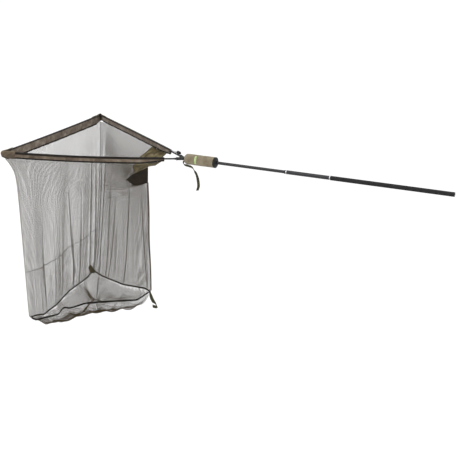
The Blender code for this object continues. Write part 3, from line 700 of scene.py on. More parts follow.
head_piece(elastic, "cord", "elastic_cord")
print("lock and elastic made")

# %% [markdown]
# ## The net's panels
# The bag is sewn from four panels of knitted net: two sides, a front and a base. Each hangs
# as a curved sheet between its edges (a Coons patch, which blends four border lines). The
# folds are given by rule, as pleats, so that the sewn corners stay where they are: each has a
# place along the panel, a width, and a depth that grows downwards.

# %% Corners and bound seams
CHEEK_FRONT = (-0.328, 0.052, -0.124)
PATCH_TIP = (-0.370, 0.058, -0.158)
PATCH_FRONT = (-0.330, 0.036, -0.200)
PATCH_REAR = (-0.257, 0.0, -0.182)
BASE_REAR = (-0.265, 0.0, -0.890)
BASE_NEAR = (-0.880, -0.425, -1.017)
BASE_FAR = (-0.920, 0.345, -1.002)
BASE_SAG = 0.096
SEAM_HEIGHTS = {
    "near": ((0, -0.890), (0.12, -0.945), (0.40, -0.940), (0.55, -0.945), (0.66, -0.970), (0.72, -0.960),
             (0.76, -1.005), (0.96, -1.035), (1, -1.015)),
    "far": ((0, -0.890), (0.10, -0.895), (0.45, -0.960), (0.85, -0.998), (1, -0.992)),
    "front": ((0, -1.015), (0.10, -1.030), (0.20, -1.062), (0.45, -1.042), (0.65, -1.012), (0.85, -1.017),
              (1, -0.992)),
}
SEAM_ENDS = {"near": (BASE_REAR, BASE_NEAR), "far": (BASE_REAR, BASE_FAR), "front": (BASE_NEAR, BASE_FAR)}


def seam_line(name, shares):
    """Points on a base seam at shares of its way, its heights eased."""
    shares = np.asarray(shares, float)
    first, last = (at(*corner) for corner in SEAM_ENDS[name])
    knots, heights = zip(*SEAM_HEIGHTS[name])
    points = first + (last - first) * shares[:, None]
    eased = np.zeros_like(shares)
    for offset in (-0.012, -0.004, 0.004, 0.012):
        eased += np.interp(np.clip(shares + offset, 0, 1), knots, heights) / 4
    points[:, 2] = eased
    return points


def mirrored(corner, side):
    return at(corner[0], side * corner[1], corner[2])


print("seam heights are given at", sum(len(found) for found in SEAM_HEIGHTS.values()), "places")

# %% Pleats
# A pleat: its place along the panel at some depths, its half width in metres, how far it
# stands out (+) or in (-), and the depths where it starts and is full.
OUTWARD = {
    "near": np.array([-math.sin(0.62), -math.cos(0.62), 0.0]),
    "far": np.array([-math.sin(0.50), math.cos(0.50), 0.0]),
    "front": np.array([-1.0, 0.0, 0.0]),
}
PLEATS = {
    "near": [
        ([(0.0, 0.30), (1.0, 0.42)], 0.0300, 0.011, (0.10, 0.7)),
        ([(0.3, 0.36), (0.7, 0.39), (1.0, 0.46)], 0.0030, -0.022, (0.45, 0.9)),
        ([(0.0, 0.62), (1.0, 0.60)], 0.0400, 0.012, (0.10, 0.8)),
        ([(0.0, 0.86), (1.0, 0.80)], 0.0260, -0.009, (0.20, 0.9)),
        ([(0.0, 0.14), (1.0, 0.20)], 0.0300, -0.010, (0.20, 0.9)),
    ],
    "far": [
        ([(0.0, 0.975), (1.0, 0.965)], 0.0026, -0.016, (0.02, 0.45)),
        ([(0.0, 0.955), (1.0, 0.930)], 0.0026, 0.016, (0.02, 0.45)),
        ([(0.0, 0.83), (1.0, 0.79)], 0.0028, 0.022, (0.15, 0.65)),
        ([(0.3, 0.66), (1.0, 0.73)], 0.0026, -0.018, (0.30, 0.75)),
        ([(0.0, 0.55), (1.0, 0.58)], 0.0350, 0.005, (0.10, 0.80)),
        ([(0.0, 0.36), (1.0, 0.45)], 0.0028, -0.022, (0.10, 0.60)),
        ([(0.0, 0.19), (1.0, 0.06)], 0.0028, 0.018, (0.10, 0.60)),
    ],
    "front": [
        ([(0.3, 0.255), (1.0, 0.265)], 0.0028, 0.022, (0.35, 0.80)),
        ([(0.3, 0.36), (1.0, 0.36)], 0.0030, -0.013, (0.35, 0.90)),
        ([(0.3, 0.45), (1.0, 0.45)], 0.0030, 0.013, (0.35, 0.90)),
        ([(0.2, 0.570), (1.0, 0.64)], 0.0028, -0.022, (0.20, 0.70)),
        ([(0.0, 0.74), (1.0, 0.76)], 0.0030, 0.018, (0.25, 0.75)),
        ([(0.0, 0.885), (1.0, 0.900)], 0.0028, -0.018, (0.02, 0.45)),
        ([(0.0, 0.945), (1.0, 0.965)], 0.0028, -0.018, (0.02, 0.45)),
        ([(0.0, 0.08), (1.0, 0.10)], 0.0300, 0.009, (0.20, 0.90)),
    ],
}
draw = np.random.RandomState(29)
SMALL_PLEATS = 4
for name in ("near", "far", "front"):
    for _ in range(SMALL_PLEATS):
        place = draw.uniform(0.06, 0.94)
        start = draw.uniform(0.45, 0.70)
        route = [(0.0, place), (1.0, place + draw.uniform(-0.03, 0.03))]
        half = draw.uniform(0.0024, 0.0034)
        height = draw.choice([-1, 1]) * draw.uniform(0.006, 0.011)
        PLEATS[name].append((route, half, height, (start, start + 0.30)))
SWELLS = {"near": (2.6, 0.009, 0.4), "far": (2.2, 0.003, 1.3), "front": (3.1, 0.009, 2.0)}
HEM_SHARE = 0.42            # how much of a pleat is left at the bound seam
WIDTH = {"near": 0.72, "far": 0.66, "front": 0.90}


def fold_depth(name, v, w):
    """How far the net stands out at depth v (a number) and places w (an array)."""
    total = np.zeros_like(w)
    for route, half, height, (start, full) in PLEATS[name]:
        middle = np.interp(v, [p[0] for p in route], [p[1] for p in route])
        grown = smooth_step((v - start) / (full - start))
        total += height * grown * np.exp(-((w - middle) * WIDTH[name] / half) ** 2)
    waves, height, phase = SWELLS[name]
    swell = height * math.sin(math.pi * min(v, 0.82) / 1.2)
    total += swell * np.sin(2 * math.pi * waves * w + phase + 1.5 * v)
    total += 0.0014 * smooth_step((v - 0.2) / 0.8) * np.sin(2 * math.pi * 11 * w + 5 * v)
    keep = 1.0 - (1.0 - HEM_SHARE) * smooth_step((v - 0.80) / 0.20)
    ends = smooth_step(w / 0.02) * smooth_step((1 - w) / 0.02)
    return total * keep * ends * smooth_step(v / 0.05)


print("pleats:", {panel: len(found) for panel, found in PLEATS.items()})

# %% Borders of the panels
LIFT = 0.004
PANEL_FINE = 1400


def gathered(corners, shares, count):
    """A border through corners at given shares of the panel's depth."""
    wanted = np.linspace(0, 1, count)
    corners = np.array(corners)
    return np.stack([np.interp(wanted, shares, corners[:, k]) for k in range(3)], axis=1)


CORNER_DROP = {
    NEAR: [(-0.910, -0.498, 0.017), (-0.890, -0.483, -0.020), (-0.862, -0.478, -0.090),
           (-0.860, -0.469, -0.250), (-0.873, -0.447, -0.630), (-0.885, -0.427, -0.980)],
    FAR: [(-0.910, 0.496, 0.017), (-0.903, 0.484, -0.010), (-0.900, 0.474, -0.090), (-0.899, 0.455, -0.250),
          (-0.903, 0.415, -0.550), (-0.912, 0.375, -0.850)],
}


def corner_line(side, count):
    """The front corner of the bag, from inside the tip guard down to the base."""
    last = at(*(BASE_NEAR if side == NEAR else BASE_FAR)) + UP * LIFT
    return curve_through([at(*p) for p in CORNER_DROP[side]] + [last], count)


def side_borders(side, count):
    """Top, bottom, rear and front borders, and how the rear one leaves a straight line."""
    name = LABEL[side]
    front_s = GUSSET_FRONT[side]
    front = corner_line(side, count)
    w = np.linspace(0, 1, PANEL_FINE)
    top = np.array([arm_point(side, front_s + 0.006 + x * (0.985 - front_s), SIDE_DROP + 0.0012) for x in w])
    top += (front[0] - top[-1]) * smooth_step((w - 0.94) / 0.06)[:, None]
    bottom = seam_line(name, w) + UP * LIFT
    shift = np.array([0.0, side * 0.0016, 0.0])
    ahead = np.array([-0.004, 0.0, 0.0])
    bound = gathered([top[0], mirrored(PATCH_TIP, side) + ahead, mirrored(PATCH_FRONT, side) + ahead,
                      at(*PATCH_REAR) + shift - np.array([0.002, 0, 0.006]), bottom[0] + shift],
                     (0, 0.150, 0.205, 0.230, 1.0), count)
    window = np.hanning(2 * (count // 7) + 1)
    window /= window.sum()
    reach = len(window) // 2
    ahead_rows = 2 * bound[0] - bound[reach:0:-1]
    after_rows = 2 * bound[-1] - bound[-2:-reach - 2:-1]
    padded = np.concatenate([ahead_rows, bound, after_rows])
    slow = np.stack([np.convolve(padded[:, k], window, "valid") for k in range(3)], axis=1)
    return top, bottom, slow, front, bound - slow


def front_borders(count):
    near, far = corner_line(NEAR, count), corner_line(FAR, count)
    w = np.linspace(0, 1, PANEL_FINE)
    near_top = arm_point(NEAR, ARM_REACH - TIP_INSET, FRONT_DROP + 0.0016) + np.array([-0.001, 0.018, 0.0])
    far_top = arm_point(FAR, ARM_REACH - TIP_INSET, FRONT_DROP + 0.0016) + np.array([-0.001, -0.018, 0.0])
    top = near_top + (far_top - near_top) * w[:, None] - UP * (CORD_SAG * w * (1 - w))[:, None]
    top += (near[0] - top[0]) * smooth_step((0.05 - w) / 0.05)[:, None]
    top += (far[0] - top[-1]) * smooth_step((w - 0.95) / 0.05)[:, None]
    bottom = seam_line("front", w) + UP * LIFT
    return top, bottom, near, far, np.zeros((count, 3))


def panel_row(name, borders, i, count, pulled=1.0):
    """Row i of a panel: a Coons patch with its pleats, its rear end pulled to the border."""
    top, bottom, rear, front, gather = borders
    v = i / (count - 1)
    w = np.linspace(0, 1, PANEL_FINE)
    across = w[:, None]
    points = (1 - v) * top + v * bottom + (1 - across) * rear[i] + across * front[i]
    points -= (1 - v) * ((1 - across) * top[0] + across * top[-1])
    points -= v * ((1 - across) * bottom[0] + across * bottom[-1])
    points += pulled * gather[i] * (1 - across) ** 14
    return points + OUTWARD[name] * fold_depth(name, v, w)[:, None]


def hem(name, count):
    """The line of a bound seam, with what is left of the pleats."""
    w = np.linspace(0, 1, count)
    return seam_line(name, w) + OUTWARD[name] * fold_depth(name, 1.0, w)[:, None]


# %% [markdown]
# ## Threads
# A knitted net reads as a tone from afar and as diamonds from near. Each panel becomes a
# lattice of edges: columns are spaced evenly along the folded row, so a pleat really holds
# more net and looks darker. Geometry Nodes turn the edges into round threads, which keeps the
# lattice light to build and its thread size one number.

# %% The thread tree
CELL_WIDE = 0.0090
CELL_TALL = 0.0120
THREAD_R = 0.00080


def group_input(tree, name, kind, default):
    made = tree.interface.new_socket(name, in_out="INPUT", socket_type=kind)
    if default is not None:
        made.default_value = default
    return made


def new_tree(name, inputs):
    """An empty geometry tree with named inputs; returns it, its input and output nodes."""
    tree = bpy.data.node_groups.new(name, "GeometryNodeTree")
    tree.interface.new_socket("Geometry", in_out="INPUT", socket_type="NodeSocketGeometry")
    tree.interface.new_socket("Geometry", in_out="OUTPUT", socket_type="NodeSocketGeometry")
    for label, kind, default in inputs:
        group_input(tree, label, kind, default)
    return tree, tree.nodes.new("NodeGroupInput"), tree.nodes.new("NodeGroupOutput")


def run_tree(made, tree, **values):
    """Runs a tree on an object with its inputs set by identifier, and keeps the plain mesh."""
    modifier = made.modifiers.new(tree.name, "NODES")
    modifier.node_group = tree
    for item in tree.interface.items_tree:
        wanted = item.name.lower().replace(" ", "_")
        if item.in_out == "INPUT" and wanted in values:
            modifier[item.identifier] = values[wanted]
    return finish_mesh(made)


def thread_tree():
    tree, start, end = new_tree("net_threads", [("Thread radius", "NodeSocketFloat", THREAD_R),
                                                ("Sides", "NodeSocketInt", 3),
                                                ("Thread", "NodeSocketMaterial", None)])
    curves = tree.nodes.new("GeometryNodeMeshToCurve")
    ring = tree.nodes.new("GeometryNodeCurvePrimitiveCircle")
    sweep = tree.nodes.new("GeometryNodeCurveToMesh")
    real = tree.nodes.new("GeometryNodeRealizeInstances")
    paint = tree.nodes.new("GeometryNodeSetMaterial")
    join = tree.links.new
    join(start.outputs["Geometry"], curves.inputs["Mesh"])
    join(start.outputs["Thread radius"], ring.inputs["Radius"])
    join(start.outputs["Sides"], ring.inputs["Resolution"])
    join(curves.outputs["Curve"], sweep.inputs["Curve"])
    join(ring.outputs["Curve"], sweep.inputs["Profile Curve"])
    join(sweep.outputs["Mesh"], real.inputs["Geometry"])
    join(real.outputs["Geometry"], paint.inputs["Geometry"])
    join(start.outputs["Thread"], paint.inputs["Material"])
    join(paint.outputs["Geometry"], end.inputs["Geometry"])
    return tree


THREADS = thread_tree()


def threads_from(name, points, edges, radius=THREAD_R):
    mesh = bpy.data.meshes.new(name)
    mesh.from_pydata([tuple(p) for p in points], [tuple(e) for e in edges], [])
    made = link(name, mesh, THREAD)
    run_tree(made, THREADS, thread_radius=radius, sides=3, thread=THREAD)
    made.data.shade_smooth()
    return made


# %% Lattices on the panels
def lattice(rows):
    """Two sets of zigzag strands, one sloping each way, over rows with one or no spare column."""
    starts = np.concatenate([[0], np.cumsum([len(row) for row in rows])])
    points = np.concatenate(rows)
    total = len(points)
    edges = []
    for i in range(len(rows) - 1):
        here, below = starts[i], starts[i + 1]
        wide = len(rows[i]) > len(rows[i + 1])
        for j in range(len(rows[i])):
            right, left = (j, j - 1) if wide else (j + 1, j)
            if right < len(rows[i + 1]):
                edges.append((here + j, below + right))
            if left >= 0:
                edges.append((total + here + j, total + below + left))
    return np.concatenate([points, points]), edges


def panel_rows(name, borders, count, first, last, columns):
    """Rows first to last of a panel, columns spread evenly along each folded row."""
    rows = []
    for i in range(first, last + 1):
        fine = panel_row(name, borders, i, count)
        free = panel_row(name, borders, i, count, pulled=0.0)
        length = np.concatenate([[0], np.cumsum(np.linalg.norm(np.diff(free, axis=0), axis=1))])
        shares = np.linspace(0, 1, columns + 1) if i % 2 == 0 else (np.arange(columns) + 0.5) / columns
        rows.append(np.stack([np.interp(shares * length[-1], length, fine[:, k]) for k in range(3)], axis=1))
    return rows


def longest(rows):
    return max(float(np.linalg.norm(np.diff(row, axis=0), axis=1).sum()) for row in rows)


# How dark a panel reads depends on its thread radius; a real net has one thread throughout.
THREAD_OF = {"near_net_threads": 0.00076, "far_net_threads": 0.00092, "front_net_upper": 0.00070,
             "front_net_lower": 0.00077, "base_net_threads": 0.00122}


def net_panel(piece_name, name, first, last, columns):
    rows = panel_rows(name, BORDERS[name], ROWS_DEEP[name], first, last, columns)
    made = threads_from(piece_name, *lattice(rows), THREAD_OF[piece_name])
    size = (longest(rows), (last - first) * CELL_TALL / 2)
    area = area_of([np.array([row[:columns] for row in rows])]) * columns / (columns - 1)
    print(piece_name, len(made.data.polygons) * 2, "triangles, area", round(area, 3))
    return made, size, area


ROWS_DEEP = {"near": 161, "far": 161, "front": 175}
FRONT_SEAM_ROW = 122
SIDE_END, FRONT_END = ROWS_DEEP["near"] - 1, ROWS_DEEP["front"] - 1
BORDERS = {
    "near": side_borders(NEAR, ROWS_DEEP["near"]),
    "far": side_borders(FAR, ROWS_DEEP["far"]),
    "front": front_borders(ROWS_DEEP["front"]),
}
near_net, near_size, near_area = net_panel("near_net_threads", "near", 0, SIDE_END, 84)
far_net, far_size, far_area = net_panel("far_net_threads", "far", 0, SIDE_END, 86)
upper_net, upper_size, upper_area = net_panel("front_net_upper", "front", 0, FRONT_SEAM_ROW, 110)
lower_net, lower_size, lower_area = net_panel("front_net_lower", "front", FRONT_SEAM_ROW, FRONT_END, 110)

# %% [markdown]
# ## The base
# The base is a triangle of the same net. Its strands run in straight lines over the cut cloth
# and stop where they meet a seam, and each point is then dropped into the sagging shape.

# %% The base panel
HEM_POINTS = 400
HEM = {name: hem(name, HEM_POINTS) for name in ("near", "far", "front")}


def hem_at(name, t):
    return np.array([np.interp(t, np.linspace(0, 1, HEM_POINTS), HEM[name][:, k]) for k in range(3)])


LOBES = 7
STRANDS_EACH_WAY = 140
STRAND_STEPS = 200
BASE_CUT = (0.80, 0.76)     # the rectangle that the triangular base is cut from
LOBE_DROP = 0.042


def base_point(v, w):
    """The base at a share v of the way forward and w of the way across."""
    point = hem_at("near", v) * (1 - w) + hem_at("far", v) * w
    level = HEM["near"][-1] * (1 - w) + HEM["far"][-1] * w
    point = point + (hem_at("front", w) - level) * v ** 3
    share = 16 * v * (1 - v) * w * (1 - w)
    ripple = 0.006 * math.sin(14 * w + 3 * v) * min(1.0, 4 * v * (1 - v))
    lobes = LOBE_DROP * (0.25 + 0.75 * abs(math.sin(math.pi * LOBES * v + 0.4)))
    lobes *= float(smooth_step(w / 0.06)) * (1 - w) ** 3
    wedge = 0.030 * math.exp(-((w - 0.86 + 0.4 * (1 - v)) / 0.05) ** 2) * float(smooth_step((v - 0.45) / 0.4))
    wedge *= float(smooth_step((1 - v) / 0.05))
    folds = (ripple + wedge) * min(1.0, 8 * share)
    return point - UP * (BASE_SAG * share ** 0.6 + folds + lobes * min(1.0, 14 * share))


def base_strands():
    rear = np.array(BASE_REAR[:2])
    near, far = np.array(BASE_NEAR[:2]) - rear, np.array(BASE_FAR[:2]) - rear
    solve = np.linalg.inv(np.stack([near, far], axis=1))
    points, edges = [], []
    for slope in (1, -1):
        for k in range(-STRANDS_EACH_WAY, STRANDS_EACH_WAY + 1):
            previous = None
            for step in range(STRAND_STEPS):
                x = -CELL_TALL / 2 * step - 0.0001
                y = slope * step * CELL_WIDE / 2 + k * CELL_WIDE
                if slope * (y + 0.5) > 1.2:
                    continue
                a, b = solve @ np.array([x, y])
                v = a + b
                if a < 0 or b < 0 or v > 1 or v < 0.004:
                    previous = None
                    continue
                points.append(base_point(v, b / v))
                if previous is not None:
                    edges.append((previous, len(points) - 1))
                previous = len(points) - 1
    return points, edges


base_net = threads_from("base_net_threads", *base_strands(), THREAD_OF["base_net_threads"])
base_grid = np.array([[base_point(v, w) for w in np.linspace(0, 1, 40)] for v in np.linspace(0.01, 1, 40)])
base_area = area_of([base_grid])
print("base", len(base_net.data.polygons) * 2, "triangles, area", round(base_area, 3))

PANEL_CUTS = (
    (near_net, ("near_net",), near_size, near_area, ["near_sleeve_cloth"], "near"),
    (far_net, ("far_net",), far_size, far_area, ["far_sleeve_cloth"], "far"),
    (upper_net, ("front_net",), upper_size, upper_area, ["front_sleeve_cloth"], "upper"),
    (lower_net, (), lower_size, lower_area, ["front_net_upper"], "front"),
    (base_net, ("base_net",), BASE_CUT, base_area,
     ["near_net_threads", "far_net_threads", "front_net_lower"], None),
)

# %% [markdown]
# ## Sleeves, bindings and guards
# A sleeve is a fold of coated cloth sewn into a tube round the arm. Its section is a small
# closed outline carried along the arm, and the sewing draws it into shallow puckers. A dark
# tape is folded over its top, and another binds the lower seam where the net is sewn in.

# %% Sleeve sections
def closed_smooth(outline, count):
    """A closed outline of (across, height) pairs, eased and spread over count points."""
    knots = np.array(outline)
    points = []
    for i in range(len(knots)):
        a, b, c, d = (knots[(i + k) % len(knots)] for k in (-1, 0, 1, 2))
        for t in np.linspace(0, 1, 8, endpoint=False):
            points.append(0.5 * (2 * b + (c - a) * t + (2 * a - 5 * b + 4 * c - d) * t**2
                                 + (3 * b - a - 3 * c + d) * t**3))
    points.append(points[0])
    flat = np.pad(np.array(points), ((0, 0), (0, 1)))
    return even(flat, count + 1)[:-1, :2]


def sleeve_outline(drop):
    half = SLEEVE_HALF
    return [(0.0, SLEEVE_TOP), (0.65 * half, 0.72 * SLEEVE_TOP), (half, 0.0), (0.80 * half, -0.40 * drop),
            (0.35 * half, -drop), (-0.35 * half, -drop), (-0.80 * half, -0.40 * drop), (-half, 0.0),
            (-0.65 * half, 0.72 * SLEEVE_TOP)]


def pucker(distance, seed):
    """A slow, uneven wave along a seam, from -1 to 1."""
    draw = np.random.RandomState(seed)
    total = 0.0
    for pitch in (0.017, 0.026, 0.041, 0.090):
        total += math.sin(2 * math.pi * distance / (pitch * draw.uniform(0.85, 1.15)) + draw.uniform(0, 6.28))
    return total / 2.6


STATIONS = 190


def arm_stations(side, start):
    """Places along an arm, each with its outward side and the sleeve's depth there."""
    return [(arm_point(side, s), outward_at(side, s), side_drop(s), s)
            for s in np.linspace(start, 1.0, STATIONS)]


SLEEVE_LINES = {
    "near": arm_stations(NEAR, SLEEVE_START),
    "far": arm_stations(FAR, FAR_SLEEVE_START),
    "front": [(cord_point(t), FORWARD, FRONT_DROP, t) for t in np.linspace(0.05, 0.95, STATIONS)],
}
SEEDS = {"near": 3, "far": 8, "front": 5}


def section_row(name, station, outline, swell=0.0):
    centre, outward, drop, distance = station
    wave = pucker(distance, SEEDS[name])
    row = []
    for across, height in outline:
        depth = max(0.0, -height / drop)
        shift = 0.0016 * wave * min(1.0, depth * 1.6) * (1 if across > 0 else 0.8)
        lower = 0.0010 * wave * depth ** 3
        row.append(centre + outward * (across * (1 + swell) + shift) + UP * (height + lower))
    return row


def declare_sheet(grids):
    """Reads the grids as arrays and does nothing more with them."""
    grids = [np.asarray(grid) for grid in grids]


# %% Sleeves and their bindings
def lower_section(drop):
    """The binding folded round the lower seam: it stands just proud of the sleeve."""
    def half_width(rise):
        return SLEEVE_HALF * (0.35 + 0.45 * min(1.0, rise / (0.6 * drop))) + 0.0009
    rises = (0.0085, 0.0040, 0.0004)
    left = [(-half_width(r), -drop + r) for r in rises]
    under = [(-0.0016, -drop - 0.0013), (0.0016, -drop - 0.0013)]
    return left + under + [(-across, height) for across, height in reversed(left)]


TOP_BAND = {"near": -0.0020, "far": 0.0058, "front": 0.0052}


def top_section(low):
    """The tape folded over the top: round the arm and down both sides."""
    reach = [(SLEEVE_HALF + 0.0008, low), (SLEEVE_HALF + 0.0010, max(low, 0.0005) + 0.0005),
             (0.0068, 0.0062), (0.0036, 0.0085), (0.0, 0.0094)]
    return reach + [(-across, height) for across, height in reversed(reach[:-1])]


SLEEVES, BINDINGS = {}, {}
STITCH_PATHS = []
for name, stations in SLEEVE_LINES.items():
    rows = [section_row(name, st, closed_smooth(sleeve_outline(st[2]), 22)) for st in stations]
    SLEEVES[name] = (cloth(name + "_sleeve_cloth", [rows], 0.0010, SLEEVE, wrap=True), rows)
    low = [section_row(name, st, lower_section(st[2])) for st in stations]
    top = [section_row(name, st, top_section(TOP_BAND[name])) for st in stations]
    BINDINGS[name] = (cloth(name + "_lower_binding", [low], 0.0011, BINDING),
                      cloth(name + "_top_binding", [top], 0.0010, BINDING))
    for piece in BINDINGS[name]:
        head_piece(piece, "dark_cloth")
    for column in (0, -1):
        STITCH_PATHS.append([row[column] - UP * 0.0018 + (row[column] - row[3]) * 0.09 for row in low])
    STITCH_PATHS.append([row[0] + UP * 0.0016 + (row[0] - row[4]) * 0.06 for row in top])
for name, (made, rows) in SLEEVES.items():
    head_piece(made, "sleeve", name + "_sleeve")
    closed = [list(row) + [row[0]] for row in rows]
    declare_sheet([closed])

# %% [markdown]
# ## Tip guards
# A doubled corner of cloth is sewn round each arm tip, where the cord pulls hardest. It runs
# along the arm, turns the corner and runs along the cord, so lines drawn along that way are
# joined into one sheet, with piping on its upper edge and binding on its lower one. The
# piping is coloured tan as a painted highlight along the top edge.

# %% Tip guards
# The tan is a painted highlight: light tan stands for light caught on the guards' top edges and on the near
# corner seam.
TAN_PAINTED_HIGHLIGHT = fabric("tan_piping", [(0.3, (0.16, 0.12, 0.07)), (0.7, (0.26, 0.20, 0.13))], 0.0011, 40.0, 0.1)
GUARD = fabric("guard_fabric", [(0.3, (0.060, 0.042, 0.026)), (0.7, (0.150, 0.112, 0.078))], 0.0012, 30.0)
GUARD_CORNER_DROP = {NEAR: 0.018, FAR: 0.036}
GUARD_SECTION = [(0.0030, 0.0112), (0.0085, 0.0085), (0.0114, 0.0), (0.0104, -0.4), (0.0074, -1.0)]
for side in (NEAR, FAR):
    label = LABEL[side]
    corner = arm_point(side, ARM_REACH - TIP_INSET)
    diagonal = unit(outward_at(side, 1.03) + FORWARD)
    stops = [(arm_point(side, s), outward_at(side, s), SIDE_DROP) for s in (0.975, 0.999, 1.020)]
    stops.append((corner + diagonal * 0.0095, diagonal, GUARD_CORNER_DROP[side]))
    stops += [(corner - np.array([0, side * reach, 0.001]), FORWARD, FRONT_DROP)
              for reach in (0.035, 0.060, 0.085)]
    lines = []
    for across, height in GUARD_SECTION:
        points = [c + o * across + UP * (height if height > -0.1 else height * d) for c, o, d in stops]
        lines.append(curve_through(points, 60))
    grid = np.array(lines).transpose(1, 0, 2)
    fine = [curve_through(row, 14) for row in grid]
    guard = cloth(label + "_tip_guard_cloth", [fine], 0.0012, GUARD)
    piping = tube_mesh(label + "_guard_piping", [row[0] + UP * 0.0008 for row in fine], 0.0015, TAN_PAINTED_HIGHLIGHT, 8)
    hem_pipe = tube_mesh(label + "_guard_hem", [row[-1] - UP * 0.0004 for row in fine], 0.0014, BINDING, 8)
    head_piece(guard, "sleeve", label + "_tip_guard")
    head_piece(piping, "dark_cloth")
    head_piece(hem_pipe, "dark_cloth")
    declare_sheet([fine])

# %% [markdown]
# ## Rear gusset and its reinforcement
# Two olive cheeks close the mouth behind the arms and meet in the rear seam, with a dark
# doubled patch below them where the wear is. Both are patches between border lines with a
# few soft wrinkles, and their free edges are bound with narrow tape.

# %% Patches of cloth
def coons(top, bottom, rear, front, down, across, wrinkle, outward):
    """A patch between four borders; top and bottom run from rear to front."""
    v = np.linspace(0, 1, down)[:, None, None]
    w = np.linspace(0, 1, across)[None, :, None]
    T, B = np.array([top(x) for x in w.ravel()])[None], np.array([bottom(x) for x in w.ravel()])[None]
    R, F = np.array([rear(x) for x in v.ravel()])[:, None], np.array([front(x) for x in v.ravel()])[:, None]
    points = (1 - v) * T + v * B + (1 - w) * R + w * F
    points -= (1 - v) * ((1 - w) * T[:, :1] + w * T[:, -1:]) + v * ((1 - w) * B[:, :1] + w * B[:, -1:])
    inside = smooth_step(v / 0.2) * smooth_step((1 - v) / 0.2)
    inside = inside * smooth_step(w / 0.2) * smooth_step((1 - w) / 0.2)
    waves = np.sin(9 * w + 5 * v + 0.6) + 0.7 * np.sin(17 * v - 6 * w + 1.9) + 0.5 * np.sin(23 * w + 11 * v)
    return points + np.asarray(outward) * wrinkle * inside * waves


def mix(a, b, t):
    return np.asarray(a) * (1 - t) + np.asarray(b) * t


def along_corners(corners, shares):
    corners = np.array(corners)
    return lambda t: np.array([np.interp(t, shares, corners[:, k]) for k in range(3)])


SEAM_HIGH = at(-0.246, 0.0, -0.072)
SEAM_LOW = at(-0.2525, 0.0, -0.083)
SEAM_SHARE = 5 / 6
CHEEK_CURVE = {NEAR: 0.010, FAR: -0.014}
CHEEK_BOW = {NEAR: 0.006, FAR: 0.052}
cheeks, patches, edges = [], [], []
for side in (NEAR, FAR):
    front_s = GUSSET_FRONT[side]
    low_front = mirrored(CHEEK_FRONT, side)
    outward = np.array([0.25, side * 0.96, 0.0])

    def cheek_top(t):
        s = GUSSET_REAR[side] + t * (front_s - GUSSET_REAR[side])
        return arm_point(side, s, side_drop(s) + 0.0024)

    top_rear, top_front = cheek_top(0.0), cheek_top(1.0)
    hollow = mix(top_rear, SEAM_HIGH, 0.5) - UP * 0.012
    rear = along_corners([top_rear, hollow, SEAM_HIGH, SEAM_LOW], (0.0, 0.5, SEAM_SHARE, 1.0))
    curve, bow = CHEEK_CURVE[side], CHEEK_BOW[side]

    def cheek_front(t):
        ahead = curve * math.sin(2 * math.pi * t) + bow * math.sin(math.pi * t)
        return mix(top_front, low_front, t) + FORWARD * ahead

    cheeks.append(coons(cheek_top, lambda t: mix(SEAM_LOW, low_front, t), rear, cheek_front,
                        31, 29, 0.0016, outward))
    top_pair = (SEAM_LOW - UP * 0.0012, low_front - UP * 0.0012)
    low_pair = (at(*PATCH_REAR), mirrored(PATCH_FRONT, side))
    tip = mirrored(PATCH_TIP, side)
    patch_front = along_corners([top_pair[1], tip, low_pair[1]], (0.0, 0.5, 1.0))
    patches.append(coons(lambda t: mix(*top_pair, t), lambda t: mix(*low_pair, t),
                         lambda t: mix(top_pair[0], low_pair[0], t), patch_front, 17, 17, 0.0012, outward))
    edges.append(cheeks[-1][:, -1])
    edges.append(cheeks[-1][:26, 0])
    edges.append(patches[-1][:, -1])
    edges.append(patches[-1][-1, :])
gusset = cloth("rear_gusset_cloth", cheeks, 0.0011, OLIVE)
reinforcement = cloth("gusset_patch_cloth", patches, 0.0016, DARK)
edge_pipes = [tube_mesh("gusset_edge_" + str(n), even(np.array(path), 40), 0.0016, BINDING, 8)
              for n, path in enumerate(edges)]
for piece in edge_pipes:
    head_piece(piece, "dark_cloth")
head_piece(gusset, "olive", "rear_gusset")
head_piece(reinforcement, "dark_cloth", "gusset_reinforcement")
declare_sheet(cheeks)
declare_sheet(patches)
for grid in cheeks:
    STITCH_PATHS.append([row[-2] for row in grid])

# %% [markdown]
# ## Seam tapes, tabs and strap
# The base seams are bound with black tape that follows the pleats' lower ends. Webbing tabs
# fold at two corners of the base, and a strap for tying the rolled net hangs at the spreader.

# %% Seam tapes
def tape(name, path, across, width, thickness, material, slot, *nodes):
    rows = tape_rows(path, across, width)
    made = cloth(name, [rows], thickness, material)
    head_piece(made, slot, *nodes)
    return made, rows


TRIM = 0.010
ON_NET = {}
for name in ("near", "far", "front"):
    path = np.array([hem_at(name, t) for t in np.linspace(TRIM, 1 - TRIM, 240)])
    wave = np.array([0.0012 * pucker(t * 0.8, 11 + len(name)) for t in np.linspace(0, 1, 240)])
    path = path + UP * wave[:, None]
    lean = [unit(UP + OUTWARD[name] * 0.25 * pucker(t * 0.6, 17)) for t in np.linspace(0, 1, 240)]
    made, rows = tape(name + "_base_binding", path, lean, 0.0100, 0.0040, BINDING, "dark_cloth",
                      name + "_base_tape")
    ON_NET[name] = [made]

rear_top = at(*PATCH_REAR) + np.array([-0.0005, 0.0, 0.0020])
rear_low = at(*BASE_REAR) + np.array([0.0040, 0.0, 0.0060])
t = np.linspace(0, 1, 120)[:, None]
rear_path = rear_top + (rear_low - rear_top) * t
rear_path = rear_path + np.array([1.0, 0, 0]) * (0.0030 * np.sin(9 * t) * np.sin(math.pi * t))
BROWN = fabric("brown_tape", [(0.3, (0.035, 0.022, 0.012)), (0.7, (0.085, 0.060, 0.035))], 0.0012, 30.0, 0.1)
made, rows = tape("rear_seam_binding", rear_path, [np.array([1.0, 0, 0])] * 120, 0.0085, 0.0020, BROWN,
                  "dark_cloth", "rear_seam_tape")
ON_NET["near"].append(made)
print("bound seams:", ", ".join(ON_NET), "and rear")

